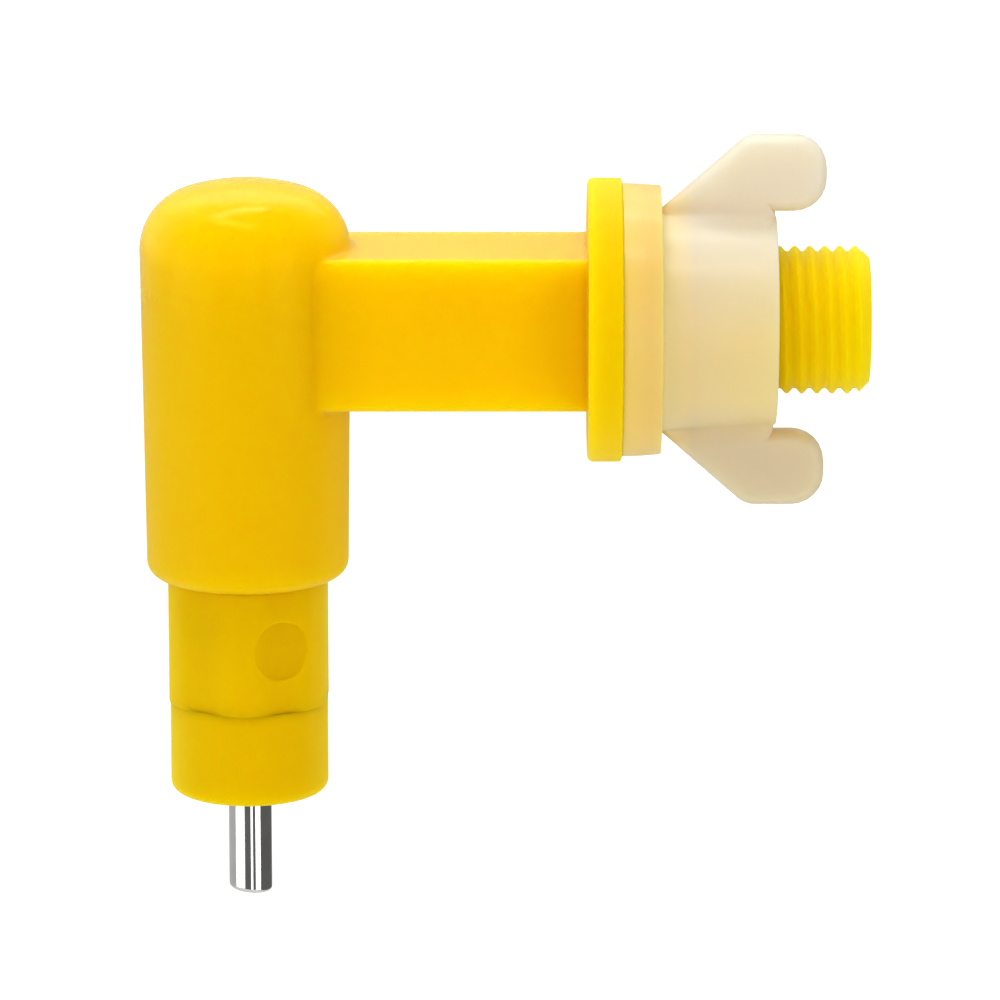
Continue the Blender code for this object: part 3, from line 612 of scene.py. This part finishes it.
def wing_nut():
    """The nut's tapered body with its two wings and its inner thread."""
    edge = NUT_EDGE_ROUND
    profile = [(0.0, NUT_LENGTH)]
    profile += arc((NUT_END_RADIUS - edge, NUT_LENGTH - edge), edge, 90, 0)
    profile += arc((NUT_BASE_RADIUS - edge, edge), edge, 0, -90)
    profile.append((0.0, 0.0))
    made = turned("moulded_wing_nut", profile, start_x=NUT_LOW.x)
    joined = [wing("upper_wing", 1), wing("lower_wing", -1)]
    for side_z in (1, -1):
        for side_y in (1, -1):
            joined.append(wing_fillet("wing_fillet", side_y, side_z))
    boolean(made, joined, 'UNION')
    crest = CREST_RADIUS + THREAD_CLEARANCE
    tap = threaded_rod("tap", CREST_RADIUS - THREAD_DEPTH + THREAD_CLEARANCE, crest,
                       NUT_LOW.x - PITCH, NUT_LOW.x + NUT_LENGTH + PITCH, THREAD_CLEARANCE / 2)
    boolean(made, [tap], 'DIFFERENCE')
    return smoothed(made)


def collar_outline():
    """The collar's section: a round with six flats, which run softly into the round."""
    count = COLLAR_POINTS
    per_flat = 2 * math.pi / COLLAR_FLAT_COUNT
    reach = []
    for index in range(count):
        off_flat = 2 * math.pi * index / count % per_flat - math.pi / COLLAR_FLAT_COUNT
        reach.append(min(COLLAR_CORNER_RADIUS, COLLAR_ACROSS_FLATS / 2 / math.cos(off_flat)))
    points = []
    for index in range(count):
        window = [reach[(index + step) % count] for step in range(-COLLAR_SOFTENING, COLLAR_SOFTENING + 1)]
        radius = sum(window) / len(window)
        angle = 2 * math.pi * index / count - math.pi / COLLAR_FLAT_COUNT + COLLAR_FLAT_TURN - math.pi / 2
        points.append((radius * math.cos(angle), radius * math.sin(angle)))
    return points


def recess_place():
    """The way that the collar's flat with the round recess faces, and the recess's middle."""
    outward = Vector((math.sin(COLLAR_FLAT_TURN), -math.cos(COLLAR_FLAT_TURN), 0.0))
    return outward, Vector((BARREL_X, 0.0, COLLAR_TOP - RECESS_DROP)) + outward * (COLLAR_ACROSS_FLATS / 2)


def valve():
    """The valve's collar with its flats and its round recess, and the plug inside the barrel."""
    top = BARREL_BOTTOM - CONTACT
    bottom = COLLAR_BOTTOM
    past = CUT_PAST
    heights = {-1: bottom, 1: top}
    made = extruded("valve_collar", collar_outline(),
                    lambda across, back, face: (BARREL_X + across, back, heights[face]),
                    COLLAR_FOOT_ROUND, COLLAR_EDGE_ROUND)
    plug_top = VALVE_HIGH.z
    groove_floor = RING_HIGH.y - (RING_HIGH.z - RING_LOW.z) - RING_GAP
    groove_top = RING_HIGH.z + RING_GAP
    groove_bottom = RING_LOW.z - RING_GAP
    chamfer = FIT_GAP
    plug = turned("plug", [(0.0, plug_top), (PLUG_RADIUS - chamfer, plug_top),
                           (PLUG_RADIUS, plug_top - chamfer), (PLUG_RADIUS, groove_top),
                           (groove_floor, groove_top), (groove_floor, groove_bottom),
                           (PLUG_RADIUS, groove_bottom), (PLUG_RADIUS, top - past), (0.0, top - past)],
                  axis_x=BARREL_X, steps=SMALL_ROUND)
    socket = SEAT_HIGH.y + SEAT_GAP
    floor = SEAT_HIGH.z + SEAT_GAP
    chamber_top = BALL_HIGH.z + PIN_LIFT + FIT_GAP
    hollow = turned("hollow", [(0.0, plug_top + past),
                               (INLET_RADIUS + INLET_FUNNEL + past, plug_top + past),
                               (INLET_RADIUS, plug_top - INLET_FUNNEL), (INLET_RADIUS, chamber_top),
                               (CHAMBER_RADIUS, chamber_top - (CHAMBER_RADIUS - INLET_RADIUS)),
                               (CHAMBER_RADIUS, floor), (socket, floor), (socket, bottom - past),
                               (0.0, bottom - past)], axis_x=BARREL_X, steps=SMALL_ROUND)
    outward, middle = recess_place()
    soft = 0.06 * MM
    recess = turned("recess", [(0.0, past), (RECESS_RADIUS + soft, past), (RECESS_RADIUS + soft, 0.0),
                               (RECESS_RADIUS, -soft / 2), (RECESS_RADIUS - soft, -RECESS_DEPTH),
                               (0.0, -RECESS_DEPTH)], axis_x=0.0, steps=SMALL_ROUND)
    recess.matrix_world = Matrix.Translation(middle) @ outward.to_track_quat('Z', 'Y').to_matrix().to_4x4()
    boolean(made, [plug], 'UNION')
    boolean(made, [hollow, recess], 'DIFFERENCE')
    return smoothed(made, 30.0)


def cap():
    """The plain round cap below the collar, with the hole that the pin hangs through."""
    top = COLLAR_BOTTOM + CONTACT
    plug_top = CAP_HIGH.z
    radius = CAP_HIGH.y
    bottom = CAP_LOW.z
    floor = bottom + CAP_FLOOR
    ease = 0.02 * MM
    profile = [(CAP_CHAMBER_RADIUS, plug_top), (CAP_PLUG_RADIUS, plug_top), (CAP_PLUG_RADIUS, top)]
    profile += arc((radius - ease, top - ease), ease, 90, 0, 3)
    rim = CAP_BOTTOM_ROUND
    profile += arc((radius - rim, bottom + rim), rim, 0, -90, 2 * CORNER)
    flare = CAP_HOLE_FLARE
    profile += [(CAP_HOLE_RADIUS + flare, bottom), (CAP_HOLE_RADIUS, bottom + flare),
                (CAP_HOLE_RADIUS, floor), (CAP_CHAMBER_RADIUS, floor)]
    return smoothed(turned("valve_cap", profile, axis_x=BARREL_X, closed=True))


def pin():
    """The trigger pin, its lower end cut at a slight slant and its edge rounded over."""
    middle = PIN_HIGH.z - PIN_PIVOT_DROP
    end = PIN_END_ROUND
    bottom = PIN_LOW.z + (PIN_RADIUS - end) * PIN_END_SLANT
    tip_round = PIN_TIP_RADIUS / 2
    neck = math.degrees(math.asin(PIN_RADIUS / PIN_HEAD_RADIUS))
    profile = [(0.0, PIN_HIGH.z)]
    profile += arc((PIN_TIP_RADIUS - tip_round, PIN_HIGH.z - tip_round), tip_round, 90, 0)
    profile.append((PIN_TIP_RADIUS, middle + PIN_HEAD_CROWN))
    profile += arc((0.0, middle), PIN_HEAD_RADIUS, 0, neck - 90, 2 * CORNER)
    profile += arc((PIN_RADIUS - end, bottom + end), end, 0, -90, 2 * CORNER)
    profile.append((0.0, bottom))
    made = turned("steel_pin", profile, axis_x=BARREL_X, steps=SMALL_ROUND, longest=PIN_STEP)
    for vertex in made.data.vertices:
        share = min(1.0, max(0.0, (bottom + 3 * end - vertex.co.z) / (2 * end)))
        vertex.co.z -= (vertex.co.x - BARREL_X) * PIN_END_SLANT * share
    return smoothed(made)


def inside_piece(node, name, smooth_angle=50.0):
    """A hidden piece keeps the CAD's own shape, copied so that it can be shaded smoothly."""
    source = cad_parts[node]
    made = bpy.data.objects.new(name, source.data.copy())
    bpy.context.scene.collection.objects.link(made)
    shape = bmesh.new()
    shape.from_mesh(made.data)
    bmesh.ops.remove_doubles(shape, verts=shape.verts, dist=0.001 * MM)
    shape.to_mesh(made.data)
    shape.free()
    made.data.materials.clear()
    return smoothed(made, smooth_angle)


class Nodes:
    """A short way to write a material's nodes."""

    def __init__(self, name):
        self.material = bpy.data.materials.new(name)
        self.material.use_nodes = True
        self.tree = self.material.node_tree
        self.shader = self.tree.nodes["Principled BSDF"]
        self.output = self.tree.nodes["Material Output"]
        self.place = self.add('ShaderNodeTexCoord').outputs["Object"]

    def add(self, kind, **settings):
        node = self.tree.nodes.new(kind)
        for key, value in settings.items():
            setattr(node, key, value)
        return node

    def link(self, source, target):
        self.tree.links.new(source, target)

    def stretched(self, scale):
        """The object's own coordinates, in metres, stretched along each axis."""
        node = self.add('ShaderNodeMapping')
        node.inputs["Scale"].default_value = scale
        self.link(self.place, node.inputs["Vector"])
        return node.outputs["Vector"]

    def noise(self, scale, detail=3.0, roughness=0.55, stretch=(1.0, 1.0, 1.0)):
        node = self.add('ShaderNodeTexNoise')
        node.inputs["Scale"].default_value = scale
        node.inputs["Detail"].default_value = detail
        node.inputs["Roughness"].default_value = roughness
        self.link(self.stretched(stretch), node.inputs["Vector"])
        return node.outputs["Fac"]

    def ranged(self, value, low, high, source_low=0.3, source_high=0.7):
        """A value that goes from low to high while its source goes over its own range, and no further."""
        node = self.add('ShaderNodeMapRange')
        node.inputs["From Min"].default_value = source_low
        node.inputs["From Max"].default_value = source_high
        node.inputs["To Min"].default_value = low
        node.inputs["To Max"].default_value = high
        self.link(value, node.inputs["Value"])
        return node.outputs["Result"]

    def from_axis(self):
        """Distance from the spigot's line."""
        node = self.add('ShaderNodeVectorMath', operation='LENGTH')
        self.link(self.stretched((0.0, 1.0, 1.0)), node.inputs[0])
        return node.outputs["Value"]

    def along(self):
        """Distance along the spigot from the flange."""
        node = self.add('ShaderNodeSeparateXYZ')
        self.link(self.place, node.inputs[0])
        return node.outputs["X"]

    def mixed(self, value, first, second):
        """A colour between two, each a colour or another node's output."""
        node = self.add('ShaderNodeMix', data_type='RGBA')
        self.link(value, node.inputs["Factor"])
        for socket, colour in (("A", first), ("B", second)):
            target = next(entry for entry in node.inputs if entry.name == socket and entry.type == 'RGBA')
            if isinstance(colour, tuple):
                target.default_value = (*colour, 1.0)
            else:
                self.link(colour, target)
        return next(entry for entry in node.outputs if entry.type == 'RGBA')

    def height(self):
        """Height above the spigot's line."""
        node = self.add('ShaderNodeSeparateXYZ')
        self.link(self.place, node.inputs[0])
        return node.outputs["Z"]

    def combined(self, operation, first, second):
        """Two values added, multiplied or otherwise put together."""
        node = self.add('ShaderNodeMath', operation=operation)
        self.link(first, node.inputs[0])
        self.link(second, node.inputs[1])
        return node.outputs[0]

    def bump(self, height, distance, strength=1.0, before=None):
        node = self.add('ShaderNodeBump')
        node.inputs["Strength"].default_value = strength
        node.inputs["Distance"].default_value = distance
        self.link(height, node.inputs["Height"])
        if before is not None:
            self.link(before, node.inputs["Normal"])
        return node.outputs["Normal"]

    def set(self, **values):
        for name, value in values.items():
            socket = self.shader.inputs[name.replace("_", " ")]
            if hasattr(value, "is_output"):
                self.link(value, socket)
            else:
                socket.default_value = value


def yellow_plastic(name, light, dark, gloss):
    """Opaque moulded plastic: faint cloudy colour, pigment specks, a slightly uneven skin.

    Towards its outline the colour is painted nearer lemon, a painted glow that stands in for light running a
    short way through it."""
    fleck_yellow = (0.95, 0.66, 0.02)
    painted_rim_glow_yellow = (0.86, 0.64, 0.02)
    made = Nodes(name)
    cloud = made.ranged(made.noise(140.0), 0.0, 1.0)
    colour = made.mixed(cloud, dark, light)
    fleck = made.ranged(made.noise(9000.0, 1.0), 0.0, 0.08, 0.55, 0.8)
    colour = made.mixed(fleck, colour, fleck_yellow)
    # Painted glow: the colour turns lemon where the surface faces away from the view.
    facing = made.add('ShaderNodeLayerWeight')
    facing.inputs["Blend"].default_value = 0.5
    outline = made.ranged(facing.outputs["Facing"], 0.0, 0.45, 0.3, 0.95)
    colour = made.mixed(outline, colour, painted_rim_glow_yellow)
    waves = made.bump(made.noise(260.0, 1.0), 0.000014)
    skin = made.bump(made.noise(5200.0, 2.0), 0.0000008, before=waves)
    # The barrel gets duller downwards, and the flange and the thread are dull all over
    uneven = made.ranged(made.noise(1400.0, 4.0), gloss - 0.02, gloss + 0.03)
    lower_down = made.ranged(made.height(), 0.24, 0.0, -2.0 * MM, 4.0 * MM)
    from_flange = made.ranged(made.along(), 0.0, 0.35, -2.35 * MM, -2.05 * MM)
    dull = made.combined('MAXIMUM', lower_down, from_flange)
    made.set(Roughness=made.combined('ADD', uneven, dull), Normal=skin)
    made.set(Subsurface_Weight=0.95, Subsurface_Radius=(0.8, 1.5, 0.05))
    made.set(Specular_Tint=(1.0, 0.85, 0.04, 1.0), IOR=1.46)
    return made, colour


def elbow_yellow():
    """The barrel's side below the dome is painted a shade deeper, a painted shade, and the flange is paler.
    """
    painted_shade_barrel_yellow = (0.775, 0.46, 0.0)
    flange_yellow = (0.81, 0.54, 0.0)
    made, colour = yellow_plastic("elbow_yellow", light=(0.88, 0.52, 0.0), dark=(0.85, 0.495, 0.0),
                                  gloss=0.19)
    # Painted shade: the barrel's side below its dome is darkened in the colour.
    painted_shade_barrel_side = made.ranged(made.along(), 0.9, 0.0, -19.0 * MM, -15.0 * MM)
    painted_shade_below_dome = made.ranged(made.height(), 1.0, 0.0, 1.0 * MM, 5.0 * MM)
    colour = made.mixed(made.combined('MULTIPLY', painted_shade_barrel_side, painted_shade_below_dome), colour, painted_shade_barrel_yellow)
    from_flange = made.ranged(made.along(), 0.0, 0.9, -2.6 * MM, -1.6 * MM)
    colour = made.mixed(from_flange, colour, flange_yellow)
    # Light soaks deep into the thread's thin ridges, and less deep where washer and flange meet
    before = made.ranged(made.along(), 0.0032, 0.0012, -3.0 * MM, -0.6 * MM)
    after = made.ranged(made.along(), 0.0, 0.005, 1.0 * MM, 4.0 * MM)
    made.set(Base_Color=colour, Subsurface_Scale=made.combined('ADD', before, after))
    made.set(Specular_IOR_Level=0.18)
    return made.material


def valve_yellow():
    """A little deeper, and darker on the floor of the collar's recess, where a painted shade with a fine
    grain is mixed in.
    """
    recess_painted_shade_yellow = (0.70, 0.42, 0.0)
    made, colour = yellow_plastic("valve_yellow", light=(0.735, 0.457, 0.0), dark=(0.705, 0.433, 0.0),
                                  gloss=0.26)
    outward, middle = recess_place()
    away = made.add('ShaderNodeVectorMath', operation='DISTANCE')
    made.link(made.place, away.inputs[0])
    away.inputs[1].default_value = middle
    edge = 0.12 * MM
    # Painted shade in the collar's recess, made uneven by a fine grain.
    inside = made.ranged(away.outputs["Value"], 1.0, 0.0, RECESS_RADIUS - edge, RECESS_RADIUS + edge / 2)
    grain = made.ranged(made.noise(3500.0, 2.0), 0.75, 1.0)
    colour = made.mixed(made.combined('MULTIPLY', inside, grain), colour, recess_painted_shade_yellow)
    made.set(Base_Color=colour, Subsurface_Scale=0.002, Specular_IOR_Level=0.06)
    return made.material


def natural_plastic(name, light, dark, warm, clear, painted_glow_tint, painted_glow_from_axis, painted_glow_from_flange,
                    soak_from_flange):
    """Uncoloured plastic that light soaks into: milky, with warmer clouds and a clear glossy skin.

    The yellow of the spigot and flange shining through it is painted in as a yellow glow that fades with the
    distance from them.
    Each of the last three is a value near, a value far, and the two distances."""
    made = Nodes(name)
    colour = made.mixed(made.ranged(made.noise(190.0, 2.0), 0.0, 1.0), dark, light)
    clouds = made.noise(330.0, 3.0, stretch=(0.5, 1.0, 1.0))
    colour = made.mixed(made.ranged(clouds, 0.0, 0.6), colour, warm)
    # Painted glow: the yellow of the spigot and flange mixed into the colour near them.
    colour = made.mixed(made.ranged(made.from_axis(), *painted_glow_from_axis), colour, painted_glow_tint)
    colour = made.mixed(made.ranged(made.along(), *painted_glow_from_flange), colour, painted_glow_tint)
    waves = made.bump(made.noise(300.0, 1.0), 0.000015)
    skin = made.bump(made.noise(4200.0, 2.0), 0.0000008, before=waves)
    made.set(Roughness=made.ranged(made.noise(900.0), 0.42, 0.55), Normal=skin)
    made.set(Subsurface_Weight=0.95, Subsurface_Radius=(1.0, 0.88, 0.62))
    made.set(Subsurface_Scale=made.ranged(made.along(), *soak_from_flange))
    made.set(Transmission_Weight=clear, Coat_Weight=0.2, Coat_Roughness=0.2, IOR=1.5)
    return made, colour


def natural_nut():
    """The nut's lower half is painted warmer than the upper, a painted glow for its light through the yellow
    spigot; its upper part is painted paler, a painted top light, its lowest part darker, a painted shade,
    and its base beside the washer brighter, a painted glow.
    """
    painted_top_light_cream = (0.80, 0.73, 0.59)
    painted_shade_beige = (0.66, 0.565, 0.355)
    painted_glow_cream = (1.0, 0.81, 0.39)
    made, colour = natural_plastic(
        "natural_nut", light=(0.79, 0.715, 0.585), dark=(0.77, 0.69, 0.54), warm=(0.79, 0.65, 0.465),
        clear=0.2, painted_glow_tint=(0.96, 0.70, 0.24), painted_glow_from_axis=(0.9, 0.0, 6.3 * MM, 8.4 * MM),
        painted_glow_from_flange=(0.9, 0.0, 2.4 * MM, 4.6 * MM),
        soak_from_flange=(0.0002, 0.003, 2.7 * MM, 4.8 * MM))
    height = made.height()
    # Painted top light: paler towards the top of the nut.
    colour = made.mixed(made.ranged(height, 0.0, 0.8, 0.0, 5.5 * MM), colour, painted_top_light_cream)
    # Painted shade: darker and warmer on the lowest wing.
    colour = made.mixed(made.ranged(height, 0.8, 0.0, -8.5 * MM, -4.0 * MM), colour, painted_shade_beige)
    # Painted glow: brighter cream at the base beside the washer.
    painted_glow_beside_washer = made.ranged(made.along(), 0.9, 0.0, 2.6 * MM, 4.4 * MM)
    made.set(Base_Color=made.mixed(painted_glow_beside_washer, colour, painted_glow_cream))
    return made.material


def natural_silicone():
    """The washer's silicone, warmer than the nut, with the yellow of the flange right beside it painted in
    as a glow.
    """
    made, colour = natural_plastic(
        "natural_silicone", light=(0.865, 0.615, 0.155), dark=(0.845, 0.585, 0.13), warm=(0.855, 0.55, 0.13),
        clear=0.15, painted_glow_tint=(0.97, 0.69, 0.125), painted_glow_from_axis=(0.4, 0.0, 7.0 * MM, 8.4 * MM),
        painted_glow_from_flange=(0.9, 0.0, 0.0, 1.7 * MM),
        soak_from_flange=(0.0002, 0.002, 0.3 * MM, 1.9 * MM))
    made.set(Base_Color=colour)
    return made.material


def polished_steel():
    """Bright drawn steel: fine lines along the pin, hardly dulled."""
    dark = (0.62, 0.61, 0.6)
    light = (0.7, 0.69, 0.68)
    made = Nodes("polished_steel")
    lines = made.noise(6000.0, 2.0, stretch=(1.0, 1.0, 0.02))
    smear = made.ranged(made.noise(500.0, 2.0), 0.0, 1.0)
    made.set(Base_Color=made.mixed(smear, dark, light), Metallic=1.0)
    made.set(Roughness=made.ranged(lines, 0.04, 0.1), Normal=made.bump(lines, 0.0000005))
    return made.material


def black_rubber():
    """Matt sealing rubber with a fine grain."""
    dark = (0.02, 0.02, 0.02)
    light = (0.04, 0.04, 0.04)
    made = Nodes("black_rubber")
    grain = made.noise(7000.0, 3.0)
    made.set(Base_Color=made.mixed(made.ranged(grain, 0.0, 1.0), dark, light))
    made.set(Roughness=made.ranged(grain, 0.5, 0.7), Normal=made.bump(grain, 0.000004))
    return made.material


def dress(made, material, body, slot, *nodes):
    """Give a piece its finish, its body and the CAD nodes that it stands for; the slot is not used."""
    made.data.materials.clear()
    made.data.materials.append(material)
    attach(made, body)
    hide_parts(*nodes)


def build_object():
    """Make every piece and put it on its body, in place of its CAD nodes."""
    yellow = elbow_yellow()
    deeper = valve_yellow()
    nut = natural_nut()
    silicone = natural_silicone()
    steel = polished_steel()
    rubber = black_rubber()
    dress(elbow(), yellow, "elbow", "elbow_plastic", "elbow_body")
    dress(washer(), silicone, "washer", "washer_silicone", "sealing_washer")
    dress(wing_nut(), nut, "nut", "nut_plastic", "wing_nut")
    dress(valve(), deeper, "elbow", "valve_plastic", "valve_body")
    dress(cap(), deeper, "elbow", "valve_plastic", "lower_cap")
    dress(pin(), steel, "pin", "polished_steel", "trigger_pin")
    dress(inside_piece("valve_ball", "steel_ball", 180.0), steel, "ball", "polished_steel", "valve_ball")
    for node in ("plug_o_ring", "pin_seat_ring", "ball_seat_ring"):
        dress(inside_piece(node, "rubber_" + node), rubber, "elbow", "seal_rubber", node)


def box_light(name, power, width, height, place, target, colour=(1.0, 1.0, 1.0)):
    """A softbox: a plain area lamp that looks at a point."""
    lamp = bpy.data.lights.new(name, 'AREA')
    lamp.shape = 'RECTANGLE'
    lamp.size = width
    lamp.size_y = height
    lamp.energy = power
    lamp.color = colour
    made = bpy.data.objects.new(name, lamp)
    made.location = place
    made.rotation_euler = (Vector(target) - Vector(place)).to_track_quat('-Z', 'Y').to_euler()
    bpy.context.scene.collection.objects.link(made)
    return made


def around(azimuth, distance, height):
    """A place round the drinker: azimuth 0 is the camera's side, 90 is +X."""
    angle = math.radians(azimuth)
    return (BARREL_X + distance * math.sin(angle), -distance * math.cos(angle), height)


def studio_world():
    """A white surround behind the object, dim towards the camera as a studio is.

    What gloss reflects changes round the object: each stop is an azimuth, as around() counts it,
    and a brightness."""
    stops = [(-180, 0.55), (-140, 0.6), (-125, 1.25), (-95, 1.25), (-75, 0.55), (-32, 0.16), (17, 0.16),
             (60, 0.14), (150, 0.14), (165, 0.5)]
    brightest = max(level for azimuth, level in stops)
    world = bpy.data.worlds.new("studio")
    bpy.context.scene.world = world
    world.use_nodes = True
    tree = world.node_tree
    tree.nodes.clear()

    def add(kind, **settings):
        node = tree.nodes.new(kind)
        for key, value in settings.items():
            setattr(node, key, value)
        return node

    def ranged(value, source_low, source_high, low, high):
        node = add('ShaderNodeMapRange')
        node.inputs["From Min"].default_value = source_low
        node.inputs["From Max"].default_value = source_high
        node.inputs["To Min"].default_value = low
        node.inputs["To Max"].default_value = high
        tree.links.new(value, node.inputs["Value"])
        return node.outputs["Result"]

    def math_node(operation, first, second):
        node = add('ShaderNodeMath', operation=operation)
        for socket, value in zip(node.inputs, (first, second)):
            if hasattr(value, "is_output"):
                tree.links.new(value, socket)
            else:
                socket.default_value = value
        return node.outputs[0]

    def background(strength=1.0):
        node = add('ShaderNodeBackground')
        node.inputs["Color"].default_value = (1.0, 1.0, 1.0, 1.0)
        node.inputs["Strength"].default_value = strength
        return node

    def mixed(value, first, second):
        node = add('ShaderNodeMixShader')
        for socket, source in zip(node.inputs, (value, first.outputs[0], second.outputs[0])):
            tree.links.new(source, socket)
        return node

    direction = add('ShaderNodeTexCoord')
    parts = add('ShaderNodeSeparateXYZ')
    tree.links.new(direction.outputs["Generated"], parts.inputs[0])
    forward = math_node('MULTIPLY', parts.outputs["Y"], -1.0)
    turn = math_node('ARCTAN2', parts.outputs["X"], forward)
    ramp = add('ShaderNodeValToRGB')
    tree.links.new(ranged(turn, -math.pi, math.pi, 0.0, 1.0), ramp.inputs["Fac"])
    elements = ramp.color_ramp.elements
    for index, (azimuth, level) in enumerate(stops):
        position = (azimuth + 180) / 360
        stop = elements[index] if index < 2 else elements.new(position)
        stop.position = position
        grey = level / brightest
        stop.color = (grey, grey, grey, 1.0)
    reflected = background(brightest)
    tree.links.new(ramp.outputs["Color"], reflected.inputs["Color"])
    from_front = ranged(parts.outputs["Y"], -0.6, 0.6, 0.42, 0.9)
    from_below = ranged(parts.outputs["Z"], -0.5, 0.0, 0.5, 1.0)
    plain = background()
    tree.links.new(math_node('MULTIPLY', from_front, from_below), plain.inputs["Strength"])
    ray = add('ShaderNodeLightPath')
    lit = mixed(ray.outputs["Is Glossy Ray"], plain, reflected)
    straight = math_node('MAXIMUM', ray.outputs["Is Camera Ray"], ray.outputs["Is Transmission Ray"])
    output = add('ShaderNodeOutputWorld')
    tree.links.new(mixed(straight, lit, background()).outputs[0], output.inputs["Surface"])


def studio_floor():
    """A plain pale floor well below the drinker, which hangs as it does on a tank."""
    drop = 0.3
    reach = 1.4
    front = 0.5
    right = 0.3
    dark = (0.7, 0.7, 0.7)
    light = (0.73, 0.73, 0.73)
    shape = bmesh.new()
    bmesh.ops.create_grid(shape, x_segments=1, y_segments=1, size=reach,
                          matrix=Matrix.Translation((right - reach, reach - front, -drop)))
    floor = add_object("floor", shape)
    made = Nodes("pale_floor")
    speckle = made.ranged(made.noise(60.0), 0.0, 1.0)
    made.set(Base_Color=made.mixed(speckle, dark, light), Roughness=0.9)
    # Only the camera sees this glow, which grows where the lamps no longer reach the floor
    away = made.add('ShaderNodeVectorMath', operation='LENGTH')
    made.link(made.place, away.inputs[0])
    far = made.ranged(away.outputs["Value"], 0.15, 0.7, 0.35, 1.1)
    ray = made.add('ShaderNodeLightPath')
    glow = made.add('ShaderNodeEmission')
    glow.inputs["Color"].default_value = (1.0, 1.0, 1.0, 1.0)
    made.link(made.combined('MULTIPLY', far, ray.outputs["Is Camera Ray"]), glow.inputs["Strength"])
    total = made.add('ShaderNodeAddShader')
    made.link(made.shader.outputs[0], total.inputs[0])
    made.link(glow.outputs[0], total.inputs[1])
    made.link(total.outputs[0], made.output.inputs["Surface"])
    floor.data.materials.append(made.material)


def studio_lights():
    """Two long strips above, a wide box behind, and softboxes to the left, the right and in front."""
    origin = (0.0, 0.0, 0.0)
    middle = (BARREL_X, 0.0, 0.0)
    box_light("front_strip", 1.22, 0.4, 0.1, (-0.09, -0.15, 0.58), origin)
    box_light("middle_strip", 1.22, 0.4, 0.1, (-0.09, 0.13, 0.58), origin)
    box_light("rear_box", 0.9, 0.9, 0.3, (0.0, 0.45, 0.45), origin)
    box_light("left_box", 1.1, 0.5, 0.42, around(-56, 0.5, -0.03), middle, (0.96, 1.0, 0.95))
    box_light("right_box", 0.93, 0.24, 0.46, around(43, 0.5, -0.03), middle, (1.0, 0.97, 0.93))
    box_light("front_box", 0.5, 0.11, 0.6, around(9, 0.6, 0.0), middle, (1.0, 0.98, 0.96))


def camera():
    """The camera at the photograph's angle, square to the side and a little above."""
    made = bpy.data.objects.new("camera", bpy.data.cameras.new("camera"))
    made.data.lens = CAMERA_LENS
    made.data.sensor_width = 36.0
    made.data.clip_start = 0.01
    made.data.clip_end = 20.0
    back = Vector((0.0, -math.cos(CAMERA_ELEVATION), math.sin(CAMERA_ELEVATION)))
    made.location = CAMERA_TARGET + back * CAMERA_DISTANCE
    made.rotation_euler = (-back).to_track_quat('-Z', 'Y').to_euler()
    bpy.context.scene.collection.objects.link(made)
    bpy.context.scene.camera = made


build_object()
studio_world()
studio_floor()
studio_lights()
camera()
bpy.context.scene.view_settings.view_transform = 'Standard'
